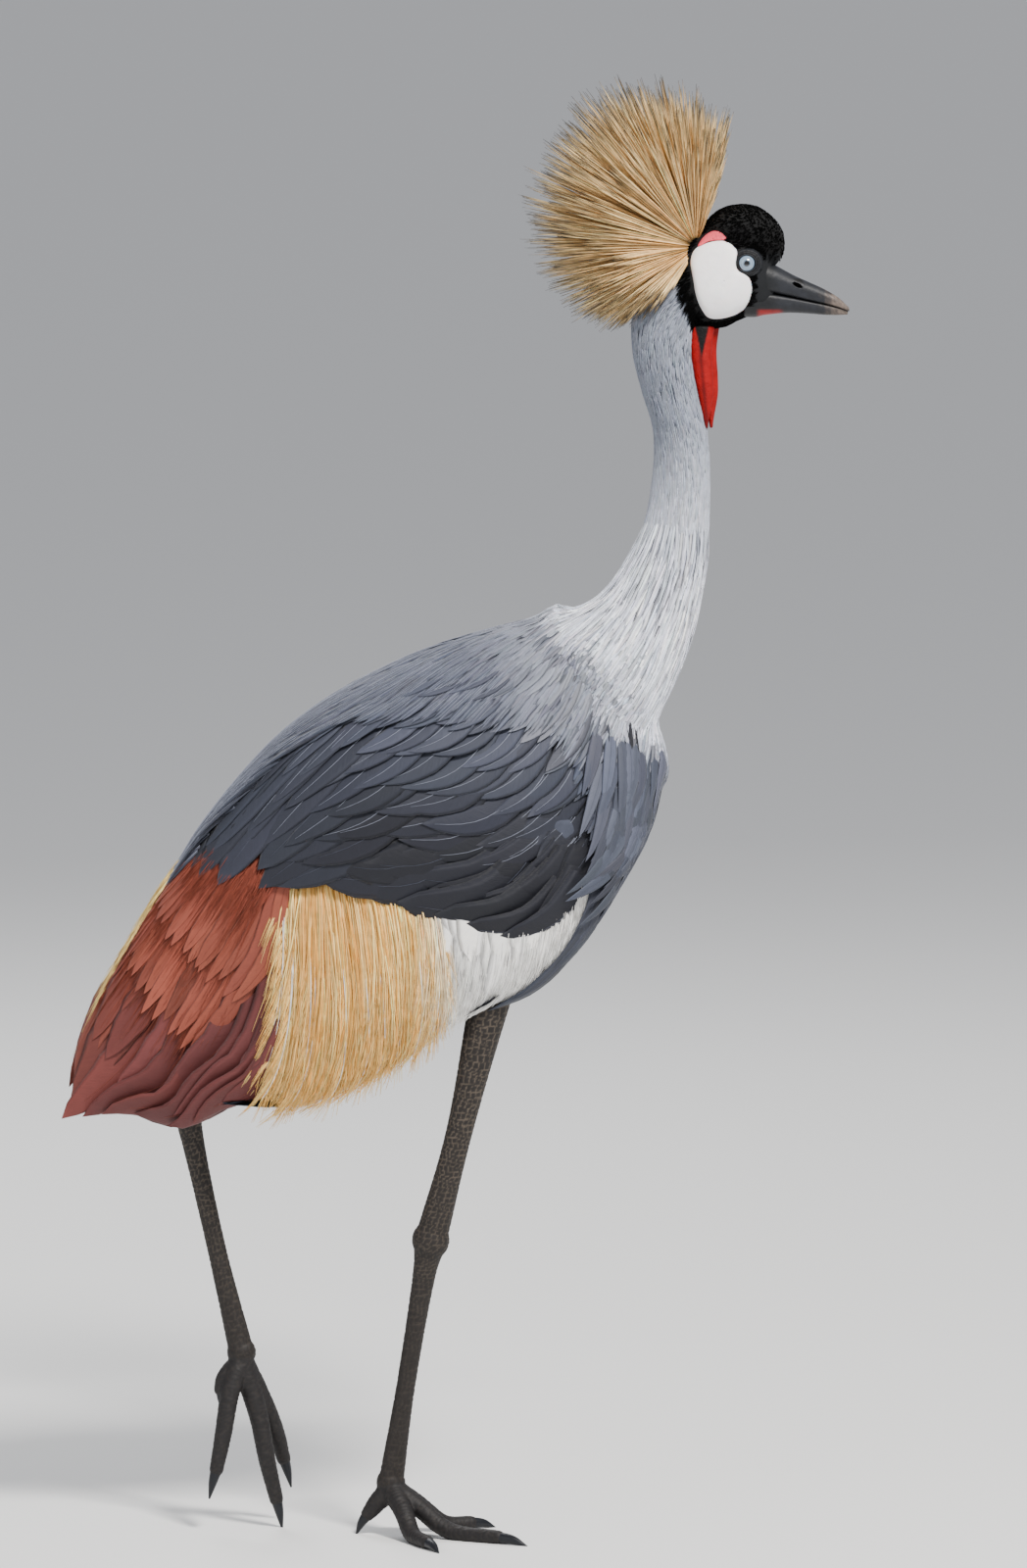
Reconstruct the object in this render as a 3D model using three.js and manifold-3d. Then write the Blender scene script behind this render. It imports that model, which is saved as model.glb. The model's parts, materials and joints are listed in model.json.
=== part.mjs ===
// A life-size still model of a grey crowned crane, walking, in millimetres.
// +X is the way the bird faces, +Y is its left and +Z is up. Sizes are set out from the floor under the
// right foot, with the bird's middle plane at y = 0. The last lines move the origin to the middle of the
// underside of the whole bird's box.
import * as THREE from "three";
import { mergeVertices } from "three/addons/utils/BufferGeometryUtils.js";
import Module from "manifold-3d";

const wasm = await Module();
wasm.setup();

const GAP = 0.3; // between pieces that touch

// The body's axis runs from the front of the breast towards the tail, and slopes down. A place on the body
// is [distance along the axis, height above it].
const BREAST = { x: 192, z: 563 };
const BODY_SLOPE = 17.2;

// The torso under the feathers: distance, top, bottom, half width.
const TORSO = [
  [3, 50, -14, 20],
  [12, 84, -30, 32],
  [28, 112, -52, 46],
  [56, 114, -79, 58],
  [88, 115, -107, 63],
  [132, 114, -129, 66],
  [175, 109, -138, 67],
  [217, 101, -129, 64],
  [259, 85, -101, 56],
  [301, 60, -68, 45],
  [336, 36, -38, 32],
  [358, 14, -16, 17],
];
const TORSO_ENDS = [[-2, -2], [366, -2]];

// The shape that the folded wings make: distance, top, widest height, bottom, half width.
const WINGS = [
  [0, 21, -7, -21, 10],
  [28, 117, 0, -52, 43],
  [56, 120, 0, -80, 60],
  [88, 122, 0, -108, 70],
  [132, 122, 0, -130, 77],
  [175, 117, 0, -138, 78],
  [217, 108, -4, -148, 76],
  [259, 92, -10, -157, 69],
  [301, 67, -21, -164, 60],
  [336, 42, -35, -165, 52],
  [371, 15, -56, -157, 45],
  [406, -17, -77, -161, 38],
  [441, -52, -98, -140, 31],
  [476, -98, -115, -136, 24],
];

// Each layer of the wing has a bed that its feathers grow from, with rows of distance and the angles down
// from the middle of the back where it starts and ends, and tiers of feathers from roots to tips, which are
// distances and angles too.
const SLATE = {
  bed: [[36, 7, 98], [80, 4, 101], [140, 4, 99], [200, 4, 95], [250, 4, 85], [300, 5, 62]],
  depth: [-4.6, -16],
  level: [-3, -0.2],
  tiers: [
    { count: 4, width: 44, roots: [[76, 19], [74, 100]], tips: [[176, 18], [158, 118]] },
    { count: 4, width: 43, roots: [[150, 19], [158, 88]], tips: [[268, 18], [240, 96]] },
    {
      count: 6,
      width: 30,
      hang: 0.5,
      roots: [[226, 15], [222, 76]],
      tips: [[352, 14], [342, 34], [314, 68], [284, 86]],
    },
    {
      count: 4,
      width: 28,
      hang: 0.25,
      roots: [[80, 100], [176, 90]],
      tips: [[120, 131], [150, 130], [192, 116], [232, 100]],
    },
  ],
};
const WHITE = {
  bed: [[72, 106, 140], [100, 106, 132], [140, 106, 122]],
  depth: [-8.8, -16],
  level: [-8.6, -7.4],
  tiers: [
    {
      count: 4,
      width: 38,
      hang: 0.2,
      roots: [[78, 150], [98, 140], [136, 114]],
      tips: [[104, 174], [150, 172], [190, 154]],
    },
  ],
};
const GOLDEN = {
  bed: [[192, 103, 116], [236, 92, 108], [292, 78, 94]],
  depth: [-8.8, -24],
  level: [-8.6, -7.4],
  tiers: [
    {
      count: 7,
      width: 24,
      hang: 0.2,
      roots: [[288, 88], [240, 100], [197, 110]],
      tips: [[338, 140], [336, 160], [330, 176], [292, 177], [250, 175], [216, 166]],
    },
  ],
};
const CHESTNUT = {
  bed: [[270, 56, 74], [300, 36, 78], [344, 12, 82]],
  depth: [-16, -34],
  level: [-15.8, -14.2],
  tiers: [
    {
      count: 8,
      width: 34,
      hang: 0.2,
      roots: [[322, 24], [312, 46], [290, 68]],
      tips: [[478, 16], [466, 60], [446, 108], [412, 150], [374, 168]],
    },
  ],
};

// The neck from the head down. Each row is x and z at the nape, x and z at the throat, and half the width.
const NECK = [
  [186, 903, 233, 903, 18],
  [173, 880, 220, 880, 18],
  [173, 850, 216, 850, 17],
  [180, 822, 220, 822, 17],
  [188, 794, 226, 794, 17],
  [187, 760, 228, 760, 18],
  [180, 724, 227, 721, 21],
  [166, 696, 224, 696, 26],
  [150, 678, 217, 658, 30],
  [134, 670, 209, 633, 36],
  [124, 666, 199, 610, 42],
  [113, 663, 185, 582, 46],
];
const NECK_SPLIT = 5; // the row where the smooth upper neck ends and the hackles start

// The head and its cap from the nape forward, and both halves of the bill, in rows like the neck's.
const HEAD = [
  [206, 919, 206, 892, 8],
  [213, 932, 211, 875, 14],
  [223, 940, 223, 868, 18],
  [236, 945, 238, 869, 20],
  [248, 943, 248, 874, 19.5],
  [259, 936, 259, 878, 16.5],
  [269, 922, 269, 878, 12.5],
  [276, 912, 274, 879, 10],
];
const CAP = [
  [221, 938, 221, 934, 8],
  [229, 949, 232, 932, 15],
  [239, 955, 241, 926, 18.5],
  [251, 957, 252, 923, 18.5],
  [262, 955, 262, 919, 17],
  [272, 948, 268, 916, 14],
  [279, 939, 272, 913, 11],
  [281, 929, 274, 912, 8],
];
const BILL_UPPER = [
  [264, 917, 262, 895, 9],
  [275, 912, 271, 894, 9],
  [287, 905, 287, 890, 7.6],
  [298, 900, 298, 888, 6.2],
  [309, 895, 309, 886, 5],
  [319, 889, 319, 884, 3.6],
  [326, 883, 326, 881, 1.6],
];
const BILL_LOWER = [
  [262, 894, 260, 877, 8.5],
  [271, 893, 266, 878, 8],
  [287, 889, 281, 879.5, 7],
  [298, 887, 296, 879, 5.8],
  [309, 885, 309, 878, 4.6],
  [318, 883, 318, 878, 3],
  [325, 880, 325, 878, 1.2],
];
const EYE = { x: 253.5, y: 12.5, z: 915, radius: 8, room: 1 };
const LIDS = { thick: 2.4, beyond: 0.8, outwards: 2.5 };
const MOUTH = { centre: [272, 0, 894.5], size: [16, 40, 0.9] };
const NOSTRIL = { x: 290, z: 898, length: 8, height: 3.6, tilt: -27 };

// The bare white cheek and the red patch over it, as outlines in side view.
const CHEEK = [
  [234, 932], [218, 927], [213, 917], [215, 903], [217, 892], [221, 882], [227, 875],
  [238, 875], [249, 879], [255, 885], [258, 895], [257, 903], [253, 907], [248, 910],
  [246, 915], [247, 924], [243, 929],
];
const CHEEK_THICK = 3;
const RED_THICK = 2.2;
const CHEEK_RED = [[220, 928], [229, 938], [236, 937], [239, 932], [234, 933]];

// One lobe of the wattle: x and z at the back, x and z at the front, and half the width.
const WATTLE = [
  [215, 868, 233, 869, 5],
  [215, 853, 231, 852, 5.5],
  [217, 839, 232, 834, 5],
  [221, 820, 232, 820, 4],
  [225, 802, 229, 802, 2.6],
];
const WATTLE_APART = 4;

// The crest springs from one place at the back of the crown. In side view its tips lie at these angles up
// from straight ahead, at these distances, and it spreads to both sides. Its low core runs between two
// shares of the way out, and each bristle starts a little inside the core and ends near a tip.
const CREST = {
  x: 215,
  z: 927,
  spread: 50,
  shorter: 0.2,
  core: [0.08, 0.42],
  coreInset: [5, 4],
  rows: 13,
  across: 10,
  fewest: 0.6,
  thick: 1.6,
  sunk: 0.12,
  reach: [0.93, 1.01],
  jitter: [5, 4],
};
const CREST_TIPS = [
  [72, 82],
  [78, 98],
  [98, 116],
  [112, 123],
  [127, 127],
  [145, 128],
  [166, 123],
  [190, 108],
  [206, 98],
  [219, 85],
  [229, 68],
];

// The tail: from the body's end its feathers run this far along and down, and this far to each side.
const TAIL = {
  count: 5,
  length: 150,
  run: [340, 450],
  height: [4, -112],
  droop: 1.3,
  width: 15,
  spread: 6.5,
  rootSpread: 0.6,
  outerShort: 0.08,
  stagger: 3,
  root: { at: 24, deep: 2, half: [20, 10, 8], tilt: 40 },
};

// The legs: the path and radii of the feathered thigh and shank, and of the bare tarsus below the ankle.
const LEGS = {
  R: {
    tibia: [[92, -38, 462], [74, -36, 402], [50, -29, 298], [29, -22, 217]],
    tarsus: [[29, -22, 217], [24, -18, 190], [11, -8, 110], [0, 0, 38]],
  },
  L: {
    tibia: [[92, 42, 484], [20, 38, 428], [-64, 32, 367], [-147, 26, 309]],
    tarsus: [[-147, 26, 309], [-143, 27, 284], [-126, 28, 205], [-108, 30, 128]],
  },
};
const TIBIA_RADII = [20, 15.5, 9.5, 11.5];
const TARSUS_RADII = [12.5, 8.2, 6.8, 9];
const NARROW = 0.8; // how wide a leg is, seen from the front, for its width in side view

// The toes of each foot: the path from the ball of the foot to the claw, and then the tip of the claw. The
// right foot stands flat, and the left one is about to leave the floor, on the claw of its middle toe.
const TOES = {
  R: {
    inner: [[[0, 0, 34], [20, 8, 20], [38, 16, 5.4], [58, 24, 4.4]], [75, 31, -0.4]],
    middle: [[[0, 0, 34], [19, -8, 22], [43, -20, 5.8], [78, -38, 4.4]], [98, -49, -0.4]],
    outer: [[[0, 0, 34], [9, -17, 20], [16, -34, 5.4], [27, -60, 4.4]], [35, -78, -0.4]],
    hind: [[[0, 0, 33], [-9, 1, 24], [-13, 1.5, 19], [-17, 2, 14]], [-25, 3, -0.4]],
  },
  L: {
    inner: [[[-108, 30, 122], [-116, 22, 100], [-121, 18, 70], [-126, 15, 44]], [-131, 14, 24]],
    middle: [[[-108, 30, 122], [-96, 30, 82], [-90, 30, 50], [-83, 30, 20]], [-79, 30, -0.8]],
    outer: [[[-108, 30, 122], [-94, 38, 94], [-84, 46, 68], [-78, 50, 46]], [-73, 52, 26]],
    hind: [[[-108, 30, 120], [-116, 29, 114], [-121, 28.5, 107], [-123, 28, 100]], [-122, 27, 86]],
  },
};
const TOE_RADII = [8.5, 7, 6.2, 5];
const CLAW_RADII = [4.2, 3, 0.8];
const CLAW_ARCH = 1.5; // how far a claw bows upwards in its middle
const ANKLE = [13.5, 10.5, 14]; // half sizes of the ankle and of the ball of the foot
const BALL = [10.5, 9, 10.5];

const point = (x, y, z) => new THREE.Vector3(x, y, z);
const turn = (degrees) => THREE.MathUtils.degToRad(degrees);
const mix = THREE.MathUtils.lerp;

// A closed solid from points and triangles, turned to face outwards.
function solid(points, faces) {
  const volume = faces.reduce(
    (sum, [a, b, c]) => sum + points[a].dot(points[b].clone().cross(points[c])),
    0,
  );
  const facing = volume < 0 ? faces.map(([a, b, c]) => [a, c, b]) : faces;
  return new wasm.Manifold(
    new wasm.Mesh({
      numProp: 3,
      vertProperties: new Float32Array(points.flatMap((p) => p.toArray())),
      triVerts: new Uint32Array(facing.flat()),
    }),
  );
}

// A closed solid from a three.js geometry.
function solidOf(geometry) {
  geometry.deleteAttribute("normal");
  geometry.deleteAttribute("uv");
  const merged = mergeVertices(geometry, 1e-3);
  return new wasm.Manifold(
    new wasm.Mesh({
      numProp: 3,
      vertProperties: merged.attributes.position.array,
      triVerts: new Uint32Array(merged.index.array),
    }),
  );
}

// A skin over a row of rings with as many points each. A ring of one point is a tip, other ends are flat.
function loft(rings) {
  const points = rings.flat();
  const count = Math.max(...rings.map((ring) => ring.length));
  const starts = rings.map((_, i) => rings.slice(0, i).flat().length);
  const place = (i, j) => starts[i] + (rings[i].length > 1 ? j % count : 0);
  const faces = [];
  for (let i = 0; i < rings.length - 1; i++)
    for (let j = 0; j < count; j++) {
      const [a, b, c, d] = [place(i, j), place(i, j + 1), place(i + 1, j + 1), place(i + 1, j)];
      if (a !== b) faces.push([a, b, c]);
      if (c !== d) faces.push([a, c, d]);
    }
  const last = rings.length - 1;
  for (let j = 1; j < count - 1; j++) {
    if (rings[0].length > 1) faces.push([place(0, 0), place(0, j + 1), place(0, j)]);
    if (rings[last].length > 1) faces.push([place(last, 0), place(last, j), place(last, j + 1)]);
  }
  return solid(points, faces);
}

// A bent plate between two grids of points that match, an upper and a lower one.
function slab(upper, lower) {
  const [rows, columns] = [upper.length, upper[0].length];
  const points = [...upper.flat(), ...lower.flat()];
  const top = (i, j) => i * columns + j;
  const bottom = (i, j) => rows * columns + top(i, j);
  const faces = [];
  const wall = (i, j, k, l) => {
    faces.push([top(i, j), bottom(k, l), top(k, l)], [top(i, j), bottom(i, j), bottom(k, l)]);
  };
  for (let i = 0; i < rows - 1; i++)
    for (let j = 0; j < columns - 1; j++) {
      faces.push([top(i, j), top(i + 1, j), top(i + 1, j + 1)]);
      faces.push([top(i, j), top(i + 1, j + 1), top(i, j + 1)]);
      faces.push([bottom(i, j), bottom(i + 1, j + 1), bottom(i + 1, j)]);
      faces.push([bottom(i, j), bottom(i, j + 1), bottom(i + 1, j + 1)]);
    }
  for (let i = 0; i < rows - 1; i++) {
    wall(i, 0, i + 1, 0);
    wall(i + 1, columns - 1, i, columns - 1);
  }
  for (let j = 0; j < columns - 1; j++) {
    wall(0, j + 1, 0, j);
    wall(rows - 1, j, rows - 1, j + 1);
  }
  return solid(points, faces);
}

// A smooth function through a table of rows [x, value, value, ...]. It gives the values at x.
function through(rows) {
  const slope = (i, c) => {
    const [low, high] = [Math.max(i - 1, 0), Math.min(i + 1, rows.length - 1)];
    return (rows[high][c] - rows[low][c]) / (rows[high][0] - rows[low][0]);
  };
  return (x) => {
    const found = rows.findIndex((row) => row[0] > x);
    const i = found < 0 ? rows.length - 2 : Math.max(found - 1, 0);
    const span = rows[i + 1][0] - rows[i][0];
    const t = (x - rows[i][0]) / span;
    const [t2, t3] = [t * t, t * t * t];
    return rows[i].slice(1).map((value, n) => {
      const start = (2 * t3 - 3 * t2 + 1) * value + (t3 - 2 * t2 + t) * span * slope(i, n + 1);
      const end = (3 * t2 - 2 * t3) * rows[i + 1][n + 1] + (t3 - t2) * span * slope(i + 1, n + 1);
      return start + end;
    });
  };
}

// Joins closed pieces, and keeps the largest closed surface.
function join(...pieces) {
  const parts = wasm.Manifold.union(pieces).decompose();
  return parts.reduce((best, part) => (part.volume() > best.volume() ? part : best));
}

// Cuts pieces away from a body, and keeps the largest closed surface.
const cut = (body, ...cutters) => join(cutters.reduce((left, cutter) => left.subtract(cutter), body));

const END_RISE = 1.2; // how far a pointed end stands out beyond its last section

// A stretch of body whose sections are rows of x and z at one edge, x and z at the other, and half width.
function sections(rows, { y = 0, rings = 10, sides = 14, grow = 0, tips = [true, true] } = {}) {
  const along = through(rows.map((row, i) => [i, ...row]));
  const made = Array.from({ length: rings }, (_, i) => {
    const [x0, z0, x1, z1, half] = along((i / (rings - 1)) * (rows.length - 1));
    const centre = point((x0 + x1) / 2, y, (z0 + z1) / 2);
    const reach = point((x1 - x0) / 2, 0, (z1 - z0) / 2);
    reach.setLength(reach.length() + grow);
    return Array.from({ length: sides }, (_, j) => {
      const angle = (j / sides) * 2 * Math.PI;
      const across = point(0, Math.sin(angle) * (half + grow), 0);
      return centre.clone().addScaledVector(reach, Math.cos(angle)).add(across);
    });
  });
  const middle = (ring) => ring.reduce((sum, p) => sum.add(p), point(0, 0, 0)).divideScalar(sides);
  const beyond = (inner, outer) => {
    const step = middle(outer).sub(middle(inner)).setLength(END_RISE + grow);
    return [middle(outer).add(step)];
  };
  const [start, end] = [beyond(made[1], made[0]), beyond(made[rings - 2], made[rings - 1])];
  return loft([...(tips[0] ? [start] : []), ...made, ...(tips[1] ? [end] : [])]);
}

// A round or oval stalk along a path, with a radius at each of its points.
function stalk(path, radii, { sides = 8, steps = 5, oval = 1, grow = 0 } = {}) {
  const curve = new THREE.CatmullRomCurve3(path.map((p) => point(...p)));
  const radius = through(radii.map((r, i) => [i / (radii.length - 1), r]));
  const rings = Array.from({ length: steps + 1 }, (_, i) => {
    const t = i / steps;
    const [centre, ahead] = [curve.getPoint(t), curve.getTangent(t)];
    const across = point(0, 1, 0).cross(ahead).cross(ahead).normalize();
    const over = ahead.clone().cross(across).normalize();
    const r = radius(t)[0] + grow;
    return Array.from({ length: sides }, (_, j) => {
      const angle = ((j + 0.5) / sides) * 2 * Math.PI;
      const side = across.clone().multiplyScalar(Math.cos(angle) * r * oval);
      return centre.clone().add(side).addScaledVector(over, Math.sin(angle) * r);
    });
  });
  return loft(rings);
}

// A ball with its half sizes along X, Y and Z, pitched up from +X by tilt degrees.
function ball(centre, half, { tilt = 0, fine = [12, 7] } = {}) {
  const shape = new THREE.SphereGeometry(1, ...fine);
  shape.rotateX(Math.PI / 2);
  shape.scale(...half).rotateY(turn(-tilt)).translate(...centre);
  return solidOf(shape);
}

// A prism across the model from an outline in side view.
function prism(outline, from, to, grow = 0) {
  const mean = (axis) => outline.reduce((sum, p) => sum + p[axis], 0) / outline.length;
  const middle = [mean(0), mean(1)];
  const grown = outline.map(([x, z]) => {
    const out = new THREE.Vector2(x - middle[0], z - middle[1]);
    return out.setLength(out.length() + grow).add(new THREE.Vector2(...middle));
  });
  const shape = new THREE.ExtrudeGeometry(new THREE.Shape(grown), { depth: to - from, bevelEnabled: false });
  shape.rotateX(Math.PI / 2);
  return solidOf(shape.translate(0, to, 0));
}

const boxAt = (centre, size) => solidOf(new THREE.BoxGeometry(...size).translate(...centre));
const floor = boxAt([0, 0, -50], [900, 600, 100]);

// The point of the body at a distance along its axis, a height above it and a place across it.
const slope = turn(BODY_SLOPE);
function onBody(along, height, across) {
  return point(
    BREAST.x - Math.cos(slope) * along - Math.sin(slope) * height,
    across,
    BREAST.z - Math.sin(slope) * along + Math.cos(slope) * height,
  );
}

// The torso, grown by a margin where it is used as a cutter.
const torsoAt = through(TORSO);
function torsoShape(grow = 0) {
  const stations = TORSO.map((row) => row[0]);
  const rings = stations.map((s) => {
    const [top, bottom, half] = torsoAt(s);
    const middle = Math.min(0, (top + bottom) / 2);
    return Array.from({ length: 20 }, (_, j) => {
      const angle = (j / 20) * 2 * Math.PI;
      const rise = Math.cos(angle) > 0 ? top + grow - middle : middle - bottom + grow;
      return onBody(s, middle + rise * Math.cos(angle), Math.sin(angle) * (half + grow));
    });
  });
  const [front, back] = TORSO_ENDS;
  return loft([
    [onBody(front[0] - grow, front[1], 0)],
    ...rings,
    [onBody(back[0] + grow, back[1], 0)],
  ]);
}

// The point on the folded wing at a distance along, an angle down from the back and a depth outwards.
const wingAt = through(WINGS);
const TUCK = 0.35; // how much of their half width the wings lose by the middle of the belly
function onWing(side, along, angle, depth) {
  const [top, middle, bottom, half] = wingAt(along);
  const a = turn(angle);
  const wide = half + depth;
  if (angle <= 90) {
    return onBody(along, middle + (top + depth - middle) * Math.cos(a), side * wide * Math.sin(a));
  }
  const narrowing = 1 - TUCK * (1 - Math.sin(a));
  return onBody(along, middle + (middle - bottom + depth) * Math.cos(a), side * wide * narrowing);
}

// The bed of a layer, between two depths.
function bed(side, rows, [outer, inner], { along = 3, across = 4 } = {}) {
  const edge = through(rows);
  const [first, last] = [rows[0][0], rows.at(-1)[0]];
  const grid = (depth) =>
    Array.from({ length: along + 1 }, (_, i) => {
      const s = mix(first, last, i / along);
      const [from, to] = edge(s);
      return Array.from({ length: across + 1 }, (_, j) => {
        return onWing(side, s, mix(from, to, j / across), depth);
      });
    });
  return slab(grid(outer), grid(inner));
}

// A feather from its root to its tip on a surface that surface(along, around, depth) gives, both in
// millimetres. It lies deeper at its root, is highest along its shaft, and one edge lies deeper than the
// other, so that the next feather can pass under it. It fills the space down to its bed over the first part
// of its length, and hangs free beyond that.
const VANE = {
  widths: [0.75, 1, 0.85, 0.1],
  thick: [1.6, 0.8],
  lap: 2,
  edge: { short: 0.04, deep: 0.4, thin: 0.6 },
  seat: 1.5,
};
function vane(surface, root, tip, { width, level: [deep, shallow], hang = 1, steps = 3 }) {
  const ahead = new THREE.Vector2(...tip).sub(new THREE.Vector2(...root));
  const across = new THREE.Vector2(-ahead.y, ahead.x).normalize();
  const share = through(VANE.widths.map((w, i) => [i / (VANE.widths.length - 1), w]));
  const grid = (below) =>
    Array.from({ length: steps + 1 }, (_, i) => {
      const t = i / steps;
      const half = (width / 2) * share(t)[0];
      const level = mix(deep, shallow, Math.sqrt(t));
      return [-1, 0, 1].map((edge) => {
        const place = new THREE.Vector2(...root)
          .addScaledVector(ahead, t - (edge ? VANE.edge.short * t : 0))
          .addScaledVector(across, edge * half);
        const lap = ((1 - edge) / 2) * VANE.lap * Math.min(1, 2 - 2 * t);
        const top = level - (edge ? VANE.edge.deep : 0) - lap;
        const free = top - mix(...VANE.thick, t) * (edge ? VANE.edge.thin : 1);
        const under = t < hang ? Math.min(deep - VANE.seat, free) : free;
        return surface(place.x, place.y, below ? under : top);
      });
    });
  return slab(grid(false), grid(true));
}

// Feathers spread evenly along a tier. Each root and tip is a distance and an angle down from the back.
const GIRTH = 75; // the radius at which an angle on the wing is turned into a distance
function tierOf(side, { count, width, hang, roots, tips }, level) {
  const surface = (along, around, depth) => {
    return onWing(side, along, THREE.MathUtils.radToDeg(around / GIRTH), depth);
  };
  const line = (rows) => {
    return through(rows.map(([s, angle], i) => [i / (rows.length - 1), s, turn(angle) * GIRTH]));
  };
  const [rootAt, tipAt] = [line(roots), line(tips)];
  return Array.from({ length: count }, (_, i) => {
    const t = i / (count - 1);
    return vane(surface, rootAt(t), tipAt(t), { width, level, hang });
  });
}

// The look of each kind of surface: colour, roughness.
const LOOKS = {
  slate: ["#4a4f5a", 0.75],
  grey: ["#a9adb6", 0.8],
  black: ["#0b0b0c", 0.9],
  cheek: ["#efecea", 0.6],
  red: ["#c8102e", 0.55],
  eye: ["#7f93a8", 0.15],
  bill: ["#3b3d42", 0.4],
  straw: ["#cfa562", 0.8],
  white: ["#eceae6", 0.8],
  gold: ["#d8a95c", 0.8],
  chestnut: ["#7d3223", 0.75],
  leg: ["#33302f", 0.6],
  claw: ["#17181b", 0.4],
};

const crane = new THREE.Group();
crane.name = "grey_crowned_crane";

function add(name, look, body) {
  const mesh = body.getMesh();
  const geometry = new THREE.BufferGeometry();
  geometry.setAttribute("position", new THREE.BufferAttribute(mesh.vertProperties, 3));
  geometry.setIndex(new THREE.BufferAttribute(mesh.triVerts, 1));
  geometry.computeVertexNormals();
  const [color, roughness] = LOOKS[look];
  const made = new THREE.Mesh(geometry, new THREE.MeshStandardMaterial({ color, roughness }));
  made.name = name;
  crane.add(made);
}

const SIDES = { R: -1, L: 1 };

// The head, with sockets, lids and the corner of the mouth.
const eyeBall = (side, grow = 0) => {
  const r = EYE.radius + grow;
  return ball([EYE.x, side * EYE.y, EYE.z], [r, r, r]);
};
const head = (grow = 0) => sections(HEAD, { rings: 8, sides: 16, grow });
function lids(side) {
  const ring = new THREE.TorusGeometry(EYE.radius + LIDS.beyond, LIDS.thick, 5, 14);
  return solidOf(ring.rotateX(Math.PI / 2).translate(EYE.x, side * (EYE.y + LIDS.outwards), EYE.z));
}
const headBody = cut(
  join(head(), lids(-1), lids(1)),
  eyeBall(-1, GAP),
  eyeBall(1, GAP),
  boxAt(MOUTH.centre, MOUTH.size),
);
const headCutter = join(head(GAP), lids(-1), lids(1), eyeBall(-1, EYE.room), eyeBall(1, EYE.room));

add("head", "black", headBody);
for (const [name, side] of Object.entries(SIDES)) {
  add(`eye_${name}`, "eye", eyeBall(side));
  const [from, to] = side > 0 ? [4, 40] : [-40, -4];
  const cheek = prism(CHEEK, from, to).intersect(head(CHEEK_THICK));
  add(`cheek_${name}`, "cheek", cut(cheek, headCutter));
  const red = prism(CHEEK_RED, from, to).intersect(head(RED_THICK));
  add(`cheek_red_${name}`, "red", cut(red, headCutter, prism(CHEEK, from, to, GAP)));
}

// The cap of velvety black feathers on the forehead.
const face = join(
  headCutter,
  prism(CHEEK, -40, 40, GAP).intersect(head(CHEEK_THICK + GAP)),
  prism(CHEEK_RED, -40, 40, GAP).intersect(head(CHEEK_THICK + GAP)),
);
add("cap", "black", cut(sections(CAP, { rings: 8, sides: 14 }), face));

// The bill, with the gap of the mouth between its halves and a nostril right through.
const nostril = ball([NOSTRIL.x, 0, NOSTRIL.z], [NOSTRIL.length / 2, 20, NOSTRIL.height / 2], {
  tilt: NOSTRIL.tilt,
  fine: [12, 6],
});
const cap = (grow) => sections(CAP, { rings: 8, sides: 14, grow });
const bill = (rows) => sections(rows, { rings: 9, sides: 12 });
add("bill_upper", "bill", cut(bill(BILL_UPPER), headCutter, cap(GAP), nostril));
add("bill_lower", "bill", cut(bill(BILL_LOWER), headCutter));

// The neck, in two pieces that meet at one section.
const neckRows = { upper: NECK.slice(0, NECK_SPLIT + 1), lower: NECK.slice(NECK_SPLIT) };
const [[x0, z0, x1, z1, half], ...below] = neckRows.lower;
const lowered = [[x0, z0 - GAP, x1, z1 - GAP, half], ...below];
function neckUpper(grow = 0) {
  return sections(neckRows.upper, { rings: 8, sides: 16, grow, tips: [true, false] });
}
function neckLower(grow = 0) {
  return sections(lowered, { rings: 9, sides: 20, grow, tips: [false, true] });
}
add("neck_upper", "grey", cut(neckUpper(), face));
add("neck_lower", "grey", cut(neckLower(), torsoShape(GAP)));

// The wattle of two lobes under the throat.
const lobe = (side) => sections(WATTLE, { y: side * WATTLE_APART, rings: 7, sides: 8 });
add("wattle", "red", cut(join(lobe(-1), lobe(1)), face, neckUpper(GAP)));

// The crest, of stiff bristles that fan out from the back of the crown through a low core.
const crestReach = through(CREST_TIPS);
function crestPoint(angle, aside, share) {
  const [reach] = crestReach(angle);
  const [a, b] = [turn(angle), turn(aside)];
  const full = reach * (1 - CREST.shorter * (aside / CREST.spread) ** 2) * share;
  const ahead = point(Math.cos(a) * Math.cos(b), Math.sin(b), Math.sin(a) * Math.cos(b));
  return point(CREST.x, 0, CREST.z).addScaledVector(ahead, full);
}
const [crestFront, crestBack] = [CREST_TIPS[0][0], CREST_TIPS.at(-1)[0]];
function crestGrid(share) {
  const [alongInset, acrossInset] = CREST.coreInset;
  return Array.from({ length: 8 }, (_, i) => {
    const angle = mix(crestFront + alongInset, crestBack - alongInset, i / 7);
    return Array.from({ length: 6 }, (_, j) => {
      const aside = mix(acrossInset - CREST.spread, CREST.spread - acrossInset, j / 5);
      return crestPoint(angle, aside, share);
    });
  });
}

// The same row of numbers from 0 to 1 each time, spread as if at random.
const random = (() => {
  const [step, limit] = [16807, 2147483647];
  let last = 7;
  return () => {
    last = (last * step) % limit;
    return last / limit;
  };
})();

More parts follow.
